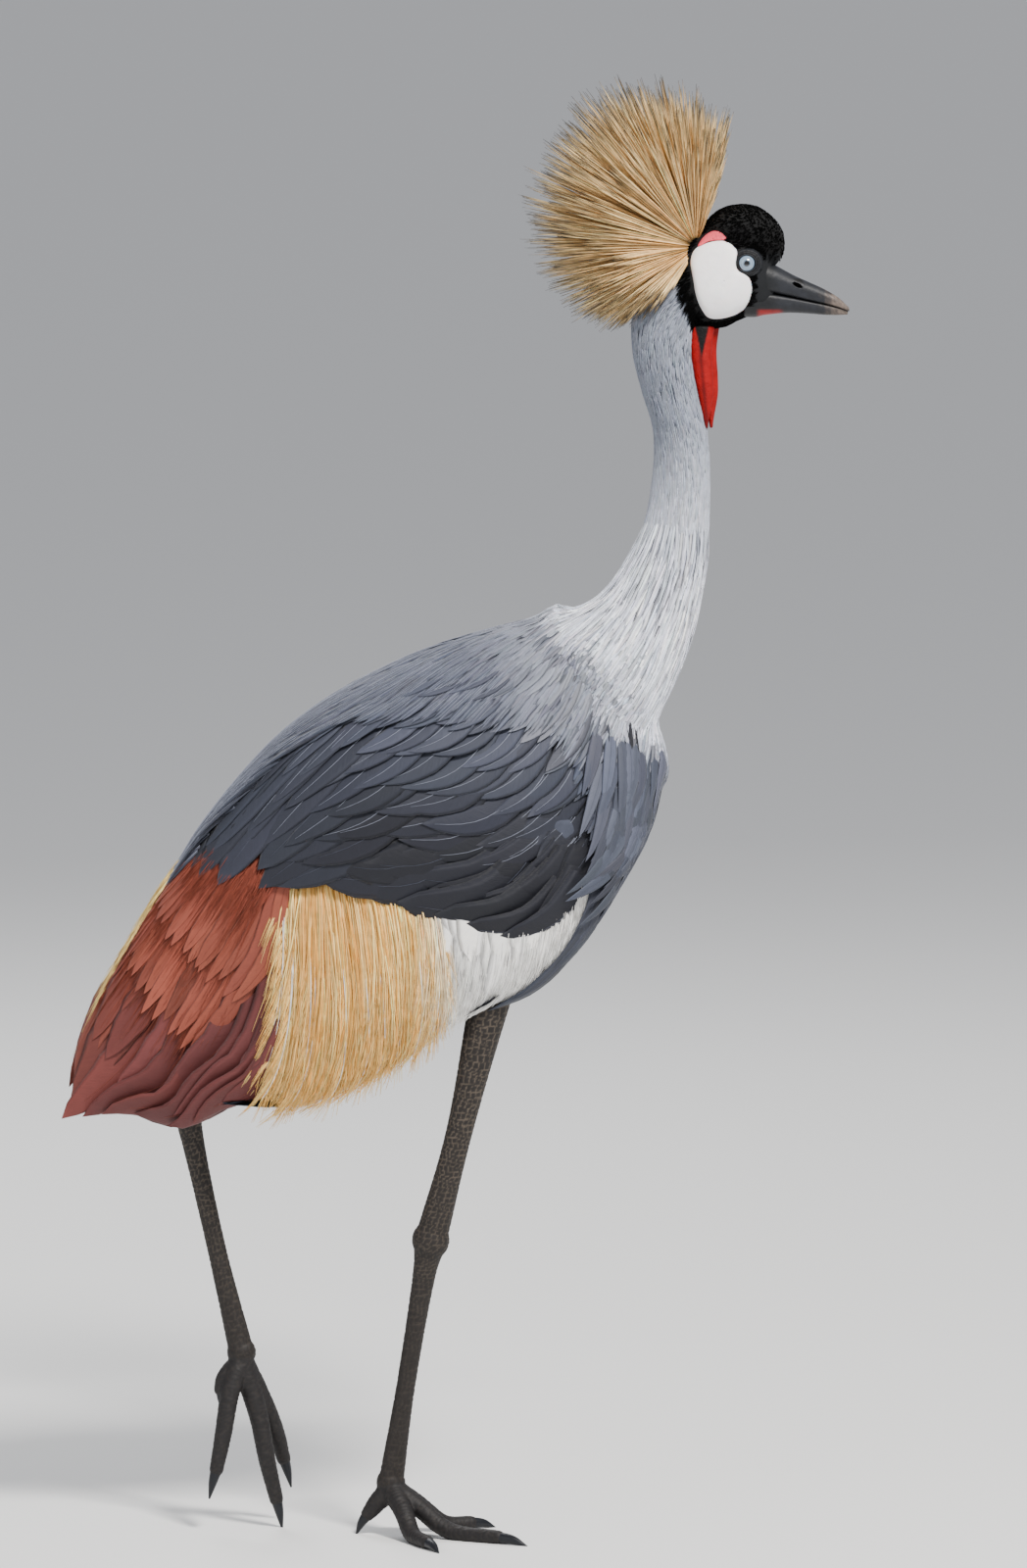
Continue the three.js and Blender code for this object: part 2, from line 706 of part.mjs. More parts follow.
// One stiff bristle with three sides, from inside the core to its tip.
const [crestIn, crestOut] = CREST.core;
function bristle(angle, aside) {
  const from = crestPoint(angle, aside, crestOut - CREST.sunk);
  const to = crestPoint(angle, aside, mix(...CREST.reach, random()));
  const ahead = to.clone().sub(from).normalize();
  const across = ahead.clone().cross(point(0.3, 0.2, 1)).normalize();
  const over = ahead.clone().cross(across);
  const base = [0, 1, 2].map((i) => {
    const a = (i / 3) * 2 * Math.PI;
    const out = across.clone().multiplyScalar(Math.cos(a)).addScaledVector(over, Math.sin(a));
    return from.clone().addScaledVector(out, CREST.thick);
  });
  return loft([base, [to]]);
}
const bristles = Array.from({ length: CREST.rows }, (_, i) => {
  const t = i / (CREST.rows - 1);
  const angle = mix(crestFront, crestBack, t);
  const count = Math.round(CREST.across * mix(CREST.fewest, 1, Math.sin(t * Math.PI)));
  return Array.from({ length: count }, (_, j) => {
    const aside = mix(-CREST.spread, CREST.spread, (j + 0.5 * (i % 2)) / (count - 0.5));
    const [alongJitter, acrossJitter] = CREST.jitter.map((most) => most * (random() - 0.5));
    return bristle(angle + alongJitter, aside + acrossJitter);
  });
}).flat();
const crestCore = slab(crestGrid(crestOut), crestGrid(crestIn));
add("crest", "straw", cut(join(crestCore, ...bristles), face, cap(GAP), neckUpper(GAP)));

// The legs, the feet and the claws, with the grown shapes that cut what lies against them.
function grownBall(centre, half, grow) {
  return ball(centre, half.map((size) => size + grow), { fine: [10, 7] });
}
const tibiaOf = (name, grow) => stalk(LEGS[name].tibia, TIBIA_RADII, { oval: NARROW, sides: 10, grow });
const tarsusOf = (name, grow) => stalk(LEGS[name].tarsus, TARSUS_RADII, { oval: NARROW, sides: 10, grow });
const ankleOf = (name, grow) => grownBall(LEGS[name].tarsus[0], ANKLE, grow);
const footOf = (name, grow) => {
  const toes = Object.values(TOES[name]).map(([path]) => stalk(path, TOE_RADII, { grow }));
  return join(grownBall(LEGS[name].tarsus.at(-1), BALL, grow), ...toes);
};
const legCutter = (name) => join(tibiaOf(name, GAP), tarsusOf(name, GAP), ankleOf(name, GAP));
function clawOf([path, tip]) {
  const [before, end] = [point(...path.at(-2)), point(...path.at(-1))];
  const start = end.clone().add(end.clone().sub(before).setLength(GAP));
  const middle = start.clone().lerp(point(...tip), 0.5).add(point(0, 0, CLAW_ARCH));
  return stalk([start.toArray(), middle.toArray(), tip], CLAW_RADII, { sides: 6, steps: 3 });
}
for (const name of Object.keys(SIDES)) {
  add(`tibia_${name}`, "leg", cut(tibiaOf(name, 0), torsoShape(GAP), ankleOf(name, GAP)));
  add(`tarsus_${name}`, "leg", cut(join(tarsusOf(name, 0), ankleOf(name, 0)), footOf(name, GAP)));
  add(`foot_${name}`, "leg", cut(footOf(name, 0), floor));
  for (const [toe, claw] of Object.entries(TOES[name]))
    add(`claw_${toe}_${name}`, "claw", cut(clawOf(claw), floor, footOf(name, GAP / 3)));
}

// The torso, and the feathers of the wings and tail around it, in layers.
add("torso", "slate", torsoShape());
const torsoCut = torsoShape(GAP);
const neckCut = neckLower(GAP);
for (const [name, side] of Object.entries(SIDES)) {
  const layer = ({ bed: rows, depth, level, tiers }) => {
    const feathers = tiers.flatMap((tier) => tierOf(side, tier, level));
    return cut(join(bed(side, rows, depth), ...feathers), torsoCut, neckCut, legCutter(name));
  };
  add(`wing_${name}`, "slate", layer(SLATE));
  add(`white_coverts_${name}`, "white", layer(WHITE));
  add(`golden_plumes_${name}`, "gold", layer(GOLDEN));
  add(`secondaries_${name}`, "chestnut", layer(CHESTNUT));
}

// The tail, dark feathers that fan out a little as they hang between the folded wings. A depth moves a
// place up and back, square to the way that they lie.
const TAIL_OUT = [0.6, 0.8];
function onTail(along, across, depth) {
  const t = Math.max(0, along / TAIL.length);
  const [run, height] = [mix(...TAIL.run, t), mix(...TAIL.height, t ** TAIL.droop)];
  return onBody(run + TAIL_OUT[0] * depth, height + TAIL_OUT[1] * depth, across);
}
const tailFeathers = Array.from({ length: TAIL.count }, (_, i) => {
  const aside = (i / (TAIL.count - 1)) * 2 - 1;
  const level = -TAIL.stagger * Math.abs(aside);
  const root = [0, aside * TAIL.spread * TAIL.rootSpread];
  const tip = [TAIL.length * (1 - TAIL.outerShort * aside ** 2), aside * TAIL.spread];
  return vane(onTail, root, tip, { width: TAIL.width, level: [level, level], hang: 0 });
});
const tailHeart = onTail(TAIL.root.at, 0, -TAIL.root.deep).toArray();
const tailRoot = ball(tailHeart, TAIL.root.half, { tilt: TAIL.root.tilt, fine: [8, 6] });
add("tail", "black", cut(join(tailRoot, ...tailFeathers), torsoCut));

const box = new THREE.Box3().setFromObject(crane);
crane.position.set(-(box.min.x + box.max.x) / 2, -(box.min.y + box.max.y) / 2, -box.min.z);

export default crane;
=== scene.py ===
"""The looks of a grey crowned crane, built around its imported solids.

Shapes are worked out in millimetres, with the ground point under the standing foot as the origin, the bird
facing +X and up along +Z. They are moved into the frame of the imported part, in metres, as each mesh is made.
"""

import json
import math

import bpy
import numpy as np
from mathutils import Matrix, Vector
from mathutils.bvhtree import BVHTree
from numpy.random import default_rng

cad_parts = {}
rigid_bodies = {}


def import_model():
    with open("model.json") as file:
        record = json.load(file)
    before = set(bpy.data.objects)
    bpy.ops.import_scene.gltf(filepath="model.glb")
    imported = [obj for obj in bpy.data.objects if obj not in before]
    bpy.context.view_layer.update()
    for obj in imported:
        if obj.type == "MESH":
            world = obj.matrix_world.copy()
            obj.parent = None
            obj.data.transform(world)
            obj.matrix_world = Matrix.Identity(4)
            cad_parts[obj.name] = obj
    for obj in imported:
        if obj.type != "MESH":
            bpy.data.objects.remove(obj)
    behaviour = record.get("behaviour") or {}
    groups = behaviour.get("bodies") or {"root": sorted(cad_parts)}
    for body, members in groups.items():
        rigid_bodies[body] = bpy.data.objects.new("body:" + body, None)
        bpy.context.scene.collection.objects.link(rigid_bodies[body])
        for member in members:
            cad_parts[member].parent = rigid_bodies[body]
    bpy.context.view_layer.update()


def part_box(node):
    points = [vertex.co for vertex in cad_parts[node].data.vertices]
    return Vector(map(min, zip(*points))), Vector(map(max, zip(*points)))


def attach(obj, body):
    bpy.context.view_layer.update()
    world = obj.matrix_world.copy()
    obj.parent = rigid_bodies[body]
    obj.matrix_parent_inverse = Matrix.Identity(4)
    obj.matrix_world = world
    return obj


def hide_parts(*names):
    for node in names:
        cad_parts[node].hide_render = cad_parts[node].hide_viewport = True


for leftover in list(bpy.data.objects):
    bpy.data.objects.remove(leftover)

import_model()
ROOT = "root"
MM = 0.001
SIDES = {"R": -1, "L": 1}

# Sizes of the bird

EYE = {"x": 253.5, "y": 12.5, "z": 915, "radius": 8, "cornea": 0.5, "cornea_angle": 0.5}
BREAST = (192, 563)
BODY_SLOPE = 17.2

# An angle round the wings counts as millimetres at this radius.
WING_ROUND = 75

# The torso: distance along the body, top, bottom, half width.
TORSO = [
    [3, 50, -14, 20],
    [12, 84, -30, 32],
    [28, 112, -52, 46],
    [56, 114, -79, 58],
    [88, 115, -107, 63],
    [132, 114, -129, 66],
    [175, 109, -138, 67],
    [217, 101, -129, 64],
    [259, 85, -101, 56],
    [301, 60, -68, 45],
    [336, 36, -38, 32],
    [358, 14, -16, 17],
]

# The folded wings: distance along the body, top, widest height, bottom, half width.
WINGS = [
    [0, 21, -7, -21, 10],
    [28, 117, 0, -52, 43],
    [56, 120, 0, -80, 60],
    [88, 122, 0, -108, 70],
    [132, 122, 0, -130, 77],
    [175, 117, 0, -138, 78],
    [217, 108, -4, -148, 76],
    [259, 92, -10, -157, 69],
    [301, 67, -21, -164, 60],
    [336, 42, -35, -165, 52],
    [371, 15, -56, -157, 45],
    [406, -17, -77, -161, 38],
    [441, -52, -98, -140, 31],
    [476, -98, -115, -136, 24],
]

# Sections in side view: a point on the back or top, the point across from it, and the half width.
NECK = [
    [186, 903, 233, 903, 18],
    [173, 880, 220, 880, 18],
    [173, 850, 216, 850, 17],
    [180, 822, 220, 822, 17],
    [188, 794, 226, 794, 17],
    [187, 760, 228, 760, 18],
    [180, 724, 227, 721, 21],
    [166, 696, 224, 696, 26],
    [150, 676, 217, 658, 30],
    [134, 667, 209, 633, 36],
    [124, 662, 199, 610, 42],
    [113, 658, 185, 582, 46],
]
HEAD = [
    [206, 919, 206, 892, 8],
    [213, 932, 211, 875, 14],
    [223, 940, 223, 868, 18],
    [236, 945, 238, 869, 20],
    [248, 943, 248, 874, 19.5],
    [259, 936, 259, 878, 16.5],
    [268, 922, 267, 878, 12],
    [272, 912, 271, 880, 8],
]
CAP = [
    [221, 938, 221, 934, 8],
    [229, 949, 232, 932, 15],
    [239, 955, 241, 926, 18.5],
    [251, 957, 252, 923, 18.5],
    [262, 955, 262, 919, 17],
    [272, 948, 268, 916, 14],
    [279, 939, 272, 913, 11],
    [281, 929, 274, 912, 8],
]
BILL_UPPER = [
    [256, 918, 254, 893, 13.5],
    [265, 917, 262, 893.5, 12],
    [275, 912.5, 272, 893, 10],
    [287, 906, 287, 890, 7.9],
    [298, 901, 298, 887.5, 6.4],
    [309, 896, 309, 885.2, 5.1],
    [319, 890, 319, 882.6, 3.7],
    [326.5, 883, 326.5, 880, 1.5],
]
BILL_LOWER = [
    [254, 893.6, 252, 876, 12],
    [264, 894, 260, 876, 10.6],
    [272, 893.4, 267, 877.5, 9],
    [287, 890.4, 282, 879, 7.4],
    [298, 887.9, 296, 878.6, 6.0],
    [309, 885.5, 309, 877.6, 4.8],
    [318, 883, 318, 877.4, 3.3],
    [325.5, 880.6, 325.5, 877.8, 1.2],
]
NOSTRIL = {"x": 290, "z": 899, "length": 8.5, "height": 3.4, "depth": 9, "tilt": -27, "septum": 1.6}
CHEEK = [
    [234, 932], [218, 927], [213, 917], [215, 903], [217, 892], [221, 882], [227, 875], [238, 875],
    [249, 879], [255, 885], [258, 895], [257, 903], [253, 907], [248, 910], [246, 915], [247, 924],
    [243, 929],
]
CHEEK_RED = [[218, 926], [222, 933], [229, 938], [236, 937], [240, 932], [234, 931], [226, 930]]
WATTLE = [
    [215, 868, 233, 869, 5],
    [215, 853, 231, 852, 5.5],
    [217, 839, 232, 834, 5],
    [221, 820, 232, 820, 4],
    [225, 803, 229, 803, 2.8],
    [226, 797, 228.5, 797, 1.6],
]
# How far apart its lobes hang, how much further forward one of them lies, and the lines of the crease between
# them, which gets painted shade, and of the dark under the chin.
WATTLE_APART = 4
WATTLE_STAGGER = 1.8
WATTLE_CREASE_SHADE = ([800, 850], [226, 221])
WATTLE_CHIN = ([0, 5], [846, 868])

# The crest's reach: the angle up from the way the bird faces, and how far the bristles reach there.
CREST = {"x": 218, "z": 926, "spread": 42, "count": 4000, "locks": 420, "gather": 0.42, "patch": (6, 11, 8)}
CREST_REACH = [
    [70, 46], [75, 92], [82, 101], [98, 117], [108, 128], [124, 134], [140, 135], [152, 131], [166, 127],
    [180, 118], [192, 109], [206, 99], [219, 87], [229, 70], [237, 54],
]

LEGS = {
    "R": {
        "tibia": [[92, -38, 462], [74, -36, 402], [50, -29, 298], [29, -22, 217]],
        "tarsus": [[29, -22, 217], [24, -18, 190], [11, -8, 110], [0, 0, 38]],
    },
    "L": {
        "tibia": [[20, 38, 428], [-64, 32, 367], [-147, 26, 309]],
        "tarsus": [[-147, 26, 309], [-143, 27, 284], [-126, 28, 205], [-108, 30, 128]],
    },
}
THIGHS = {
    "R": [[[118, -34, 520], 34], [[100, -36, 480], 30], [[86, -37, 440], 20], [[76, -36, 408], 13]],
    "L": [[[70, 30, 490], 30], [[30, 31, 440], 26], [[-6, 33, 410], 19], [[-40, 34, 384], 13]],
}
TIBIA_RADII = {"R": [20, 15.5, 9.5, 11.5], "L": [17, 11.5, 11.5]}
TARSUS_RADII = [12.5, 8.2, 6.8, 9]
NARROW = 0.8
ANKLE = [13.5, 10.5, 14]
BALL = [10.5, 9, 10.5]
TOE_RADII = [8.5, 7, 6.2, 5]
CLAW_RADII = [4.4, 3.1, 0.7]
TOES = {
    "R": {
        "inner": [[[0, 0, 34], [20, 8, 20], [38, 16, 5.4], [58, 24, 4.4]], [75, 31, -0.4]],
        "middle": [[[0, 0, 34], [19, -8, 22], [43, -20, 5.8], [78, -38, 4.4]], [98, -49, -0.4]],
        "outer": [[[0, 0, 34], [9, -17, 20], [16, -34, 5.4], [27, -60, 4.4]], [35, -78, -0.4]],
        "hind": [[[0, 0, 33], [-9, 1, 24], [-13, 1.5, 19], [-17, 2, 14]], [-25, 3, -0.4]],
    },
    "L": {
        "inner": [[[-108, 30, 122], [-116, 22, 100], [-121, 18, 70], [-126, 15, 44]], [-131, 14, 24]],
        "middle": [[[-108, 30, 122], [-96, 30, 82], [-90, 30, 50], [-83, 30, 20]], [-79, 30, -0.8]],
        "outer": [[[-108, 30, 122], [-94, 38, 94], [-84, 46, 68], [-78, 50, 46]], [-73, 52, 26]],
        "hind": [[[-108, 30, 120], [-116, 29, 114], [-121, 28.5, 107], [-123, 28, 100]], [-122, 27, 86]],
    },
}

# Where the solids' origin lies

def middle_of(node):
    """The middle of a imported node's box, in millimetres."""
    lowest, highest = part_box(node)
    return (np.array(lowest) + np.array(highest)) / 2 / MM


eyes = (middle_of("eye_R") + middle_of("eye_L")) / 2
OFFSET = eyes - np.array([EYE["x"], 0, EYE["z"]])


# Numbers and curves

def unit(v):
    """Vectors made one unit long."""
    return v / np.maximum(np.linalg.norm(v, axis=-1, keepdims=True), 1e-9)


def mix(a, b, t):
    return a + (b - a) * t


def smooth(t):
    t = np.clip(t, 0, 1)
    return t * t * (3 - 2 * t)


def fade(value, start, end):
    """0 up to start and 1 from end on, with a smooth change between them. end may lie below start."""
    return smooth((value - start) / (end - start))


def within(values, limits):
    return (values > limits[0]) & (values < limits[1])


def shares(count):
    """Even steps from 0 to 1."""
    return np.linspace(0, 1, count)


def turns(count):
    """Even steps round a circle, in radians."""
    return np.linspace(0, 2 * np.pi, count, endpoint=False)


def length_of(path):
    return np.linalg.norm(np.diff(path, axis=0), axis=-1).sum()


def through(rows):
    """A smooth curve through rows whose first number is where each stands along it."""
    rows = np.array(rows, float)
    stands, values = rows[:, 0], rows[:, 1:]
    before = np.maximum(np.arange(len(rows)) - 1, 0)
    after = np.minimum(np.arange(len(rows)) + 1, len(rows) - 1)
    slopes = (values[after] - values[before]) / (stands[after] - stands[before])[:, None]

    def at(where):
        where = np.asarray(where, float)
        i = np.clip(np.searchsorted(stands, where, "right") - 1, 0, len(rows) - 2)
        span = (stands[i + 1] - stands[i])[..., None]
        t = (where[..., None] - stands[i][..., None]) / span
        t2, t3 = t * t, t * t * t
        start = (2 * t3 - 3 * t2 + 1) * values[i] + (t3 - 2 * t2 + t) * span * slopes[i]
        end = (3 * t2 - 2 * t3) * values[i + 1] + (t3 - t2) * span * slopes[i + 1]
        return start + end

    return at


def spread(points):
    """A smooth curve through points, from 0 at the first to 1 at the last."""
    points = np.array(points, float)
    return through(np.column_stack([shares(len(points)), points]))


def paint(code):
    """A colour as linear numbers from its web code."""
    parts = np.array([int(code[i:i + 2], 16) for i in (1, 3, 5)]) / 255
    return np.where(parts <= 0.04045, parts / 12.92, ((parts + 0.055) / 1.055) ** 2.4)


# Surfaces of the body

SLOPE = math.radians(BODY_SLOPE)
torso_at = through(TORSO)
wing_at = through(WINGS)


def on_body(along, height, across):
    """Points from their distance along the body's slope, their height over it and their way across."""
    along, height, across = np.broadcast_arrays(along, height, across)
    x = BREAST[0] - math.cos(SLOPE) * along - math.sin(SLOPE) * height
    z = BREAST[1] - math.sin(SLOPE) * along + math.cos(SLOPE) * height
    return np.stack([x, across, z], -1)


def on_torso(along, angle, depth=0):
    """Angle is in degrees from the middle of the back, past 180 on the other side."""
    top, bottom, half = np.moveaxis(torso_at(along), -1, 0)
    a = np.radians(angle)
    middle = np.minimum(0, (top + bottom) / 2)
    rise = np.where(np.cos(a) > 0, top - middle, middle - bottom) + depth
    return on_body(along, middle + rise * np.cos(a), np.sin(a) * (half + depth))


# How much narrower the wings get under the body, as a share of their width.
TUCKED_IN = 0.35


def on_wing(side, along, angle, depth=0):
    """Angle is in degrees down from the middle of the back."""
    top, middle, bottom, half = np.moveaxis(wing_at(along), -1, 0)
    a = np.radians(angle)
    upper = middle + (top + depth - middle) * np.cos(a)
    lower = middle + (middle - bottom + depth) * np.cos(a)
    narrowing = np.where(a > np.pi / 2, 1 - TUCKED_IN * (1 - np.sin(a)), np.sin(a))
    return on_body(along, np.where(a > np.pi / 2, lower, upper), side * (half + depth) * narrowing)


# Meshes

def to_frame(points):
    """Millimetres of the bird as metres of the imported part."""
    return (np.asarray(points, float) + OFFSET) * MM


def linked(name, data):
    """A new object in the scene."""
    made = bpy.data.objects.new(name, data)
    bpy.context.scene.collection.objects.link(made)
    return made


def mesh_object(name, points, faces):
    mesh = bpy.data.meshes.new(name)
    mesh.from_pydata([tuple(p) for p in to_frame(points)], [], faces)
    mesh.update()
    mesh.shade_smooth()
    return linked(name, mesh)


def applied(made, kind, **settings):
    """Puts a modifier on a mesh and makes it part of the mesh."""
    modifier = made.modifiers.new(kind, kind)
    for name, value in settings.items():
        setattr(modifier, name, value)
    bpy.context.view_layer.objects.active = made
    bpy.ops.object.modifier_apply(modifier=modifier.name)


def quads(rings, sides, closed=False):
    """Faces between rings of points, also from the last ring to the first if closed."""
    faces = []
    for i in range(rings if closed else rings - 1):
        here, following = i * sides, (i + 1) % rings * sides
        for j in range(sides):
            k = (j + 1) % sides
            faces.append((here + j, here + k, following + k, following + j))
    return faces


def flipped(faces):
    return [face[::-1] for face in faces]


def tube(rings):
    """Points and faces of a closed tube through rings of points."""
    rings = np.asarray(rings, float)
    count, sides = rings.shape[:2]
    points = list(rings.reshape(-1, 3)) + [rings[0].mean(0), rings[-1].mean(0)]
    faces = quads(count, sides)
    for j in range(sides):
        k = (j + 1) % sides
        faces.append((count * sides, k, j))
        faces.append((count * sides + 1, (count - 1) * sides + j, (count - 1) * sides + k))
    return points, faces


# A flattened side bulges by this power of a round one's.
FLATTENING = 0.3


def section_rings(rows, count, sides, y=0.0, grow=0.0, flat=0):
    """Rings through sections, rounded off at both ends.

    flat is 1 to flatten the side of their first points, and -1 to flatten the other side.
    """
    rows = np.array(rows, float)
    at = through(np.column_stack([np.arange(len(rows)), rows]))
    x0, z0, x1, z1, half = at(np.linspace(0, len(rows) - 1, count)).T
    centre = np.stack([(x0 + x1) / 2, np.full(count, y), (z0 + z1) / 2], -1)
    reach = np.stack([(x1 - x0) / 2, np.zeros(count), (z1 - z0) / 2], -1)
    long = np.linalg.norm(reach, axis=-1, keepdims=True)
    reach = reach / long * (long + grow)
    angle = turns(sides)[:, None]
    up_down, sideways = np.cos(angle), np.sin(angle)[:, 0]
    if flat:
        chosen = up_down * flat > 0
        up_down = np.where(chosen, np.sign(up_down) * np.abs(up_down) ** FLATTENING, up_down)
    rings = centre[:, None] + reach[:, None] * up_down
    rings[:, :, 1] += sideways * (half + grow)[:, None]
    return capped(rings)


def domed(inner, outer, bulge, steps=3):
    """Rings that close a tube beyond its last ring with a shallow dome."""
    middle = outer.mean(0)
    ahead = unit(middle - inner.mean(0))
    size = np.linalg.norm(outer - middle, axis=-1).mean()
    made = []
    for i in range(steps, 0, -1):
        a = i / (steps + 0.4) * np.pi / 2
        made.append(middle + (outer - middle) * np.cos(a) + ahead * size * bulge * np.sin(a))
    return np.array(made)


# How far a tube's ends bulge, as a share of their radius, on flat sections and on stalks.
FLAT_END = 0.35
STALK_END = 0.8


def capped(rings, bulge=FLAT_END):
    """Rings with a dome beyond each end."""
    return np.concatenate([domed(rings[1], rings[0], bulge), rings, domed(rings[-2], rings[-1], bulge)[::-1]])


def stalk_rings(path, radii, count, sides, oval=1.0, grow=0.0):
    """Rings along a path, with a radius at each of its points."""
    curve = spread(path)
    t = shares(count)
    centre = curve(t)
    ahead = unit(np.gradient(centre, axis=0))
    over = unit(np.cross(ahead, [0.0, 1.0, 0.0]))
    across = np.cross(over, ahead)
    r = spread(np.array(radii, float)[:, None])(t)[:, 0] + grow
    angle = turns(sides)[None, :, None]
    reach = over[:, None] * np.cos(angle) - across[:, None] * np.sin(angle) * oval
    return capped(centre[:, None] + reach * r[:, None, None], STALK_END)


def ball_rings(centre, half, count=14, sides=20):
    """Rings of an oval ball. half gives its reach along each axis."""
    angle = np.linspace(0.05, np.pi - 0.05, count)[:, None]
    turn = turns(sides)[None, :]
    x = np.sin(angle) * np.cos(turn) * half[0]
    y = np.sin(angle) * np.sin(turn) * half[1]
    z = np.cos(angle) * np.ones_like(turn) * half[2]
    return np.stack([x, y, z], -1) + np.array(centre, float)


def fused(name, tubes, voxel, rounds):
    """One closed surface round several tubes, with its joints smoothed over."""
    points, faces = [], []
    for rings in tubes:
        more, ring_faces = tube(rings)
        faces += [tuple(i + len(points) for i in face) for face in ring_faces]
        points += more
    made = mesh_object(name, points, faces)
    applied(made, "REMESH", mode="VOXEL", voxel_size=voxel * MM, use_smooth_shade=True)
    applied(made, "SMOOTH", iterations=rounds)
    return made


def points_of(made):
    """A mesh's points, in millimetres of the bird."""
    points = np.empty(len(made.data.vertices) * 3)
    made.data.vertices.foreach_get("co", points)
    return points.reshape(-1, 3) / MM - OFFSET


def faces_of(made):
    return [tuple(face.vertices) for face in made.data.polygons]


class Surface:
    """A closed surface that feathers are laid over."""

    def __init__(self, made):
        self.points = points_of(made)
        self.faces = faces_of(made)
        self.tree = BVHTree.FromPolygons([tuple(p) for p in self.points], self.faces)

    def nearest(self, points):
        """The nearest point on the surface to each point, and the way out of the surface there."""
        flat = np.asarray(points, float).reshape(-1, 3)
        places, ways = np.empty_like(flat), np.empty_like(flat)
        for i, p in enumerate(flat):
            place, way, _, _ = self.tree.find_nearest(p)
            places[i], ways[i] = place, way
        return places.reshape(np.shape(points)), ways.reshape(np.shape(points))

    def scatter(self, draw, count):
        """Random points, spread evenly by area."""
        four_sided = np.array([face if len(face) == 4 else (*face, face[-1]) for face in self.faces])
        corners = self.points[four_sided]
        cross = np.cross(corners[:, 2] - corners[:, 0], corners[:, 3] - corners[:, 1])
        area = np.linalg.norm(cross, axis=-1)
        a, b, c, d = corners[draw.choice(len(area), count, p=area / area.sum())].transpose(1, 0, 2)
        u, v = draw.random((2, count, 1))
        return mix(mix(a, b, u), mix(d, c, u), v)


# The axis that the skin is unwrapped round, from the bill to the tail

NECK_MIDDLES = [[(x0 + x1) / 2, (z0 + z1) / 2] for x0, z0, x1, z1, _ in NECK]
AXIS_HEAD = [[282, 898], [262, 903], [240, 906], [222, 903], [208, 893]]
AXIS_SHOULDER = [[128, 588], [98, 552]]
AXIS_RISE = -8.0
AXIS_BODY = [list(on_body(run, AXIS_RISE, 0.0)[[0, 2]]) for run in range(130, 481, 50)]
AXIS_POINTS = AXIS_HEAD + NECK_MIDDLES[1:] + AXIS_SHOULDER + AXIS_BODY
AXIS = spread(AXIS_POINTS)(shares(240))
AXIS_AHEAD = unit(np.gradient(AXIS, axis=0))
AXIS_LENGTH = np.concatenate([[0], np.cumsum(np.linalg.norm(np.diff(AXIS, axis=0), axis=-1))])

# The clear margin round the unwrap.
UNWRAP_MARGIN = 0.02
# How large each feather's own place on the unwrap is.
PATCH = 0.003


def near_axis(points):
    """How far points lie from each point of the axis in side view, and the nearest one."""
    flat = np.asarray(points, float)[..., [0, 2]]
    apart = np.linalg.norm(flat[..., None, :] - AXIS, axis=-1)
    return apart, apart.argmin(-1)


def unwrap(points):
    """Where points lie on the skin's unwrap: along the axis, and round it."""
    _, i = near_axis(points)
    away = np.asarray(points, float)[..., [0, 2]] - AXIS[i]
    back = np.stack([AXIS_AHEAD[i][..., 1], -AXIS_AHEAD[i][..., 0]], -1)
    rise = -(away * back).sum(-1)
    round_it = np.arctan2(np.asarray(points)[..., 1], rise) / (2 * np.pi) + 0.5
    unwrapped = np.stack([AXIS_LENGTH[i] / AXIS_LENGTH[-1], round_it], -1)
    return mix(UNWRAP_MARGIN, 1 - UNWRAP_MARGIN, unwrapped)


def lie(points, blur=12.0):
    """The way that feathers lie: along the axis, blended where it bends."""
    apart, _ = near_axis(points)
    weight = np.exp(-(apart - apart.min(-1, keepdims=True)) / blur)
    flow = (weight[..., None] * AXIS_AHEAD).sum(-2)
    return unit(np.stack([flow[..., 0], np.zeros(flow.shape[:-1]), flow[..., 1]], -1))


# Feathers and strands

DARKEST = 0.002
LIGHTEST = 0.95


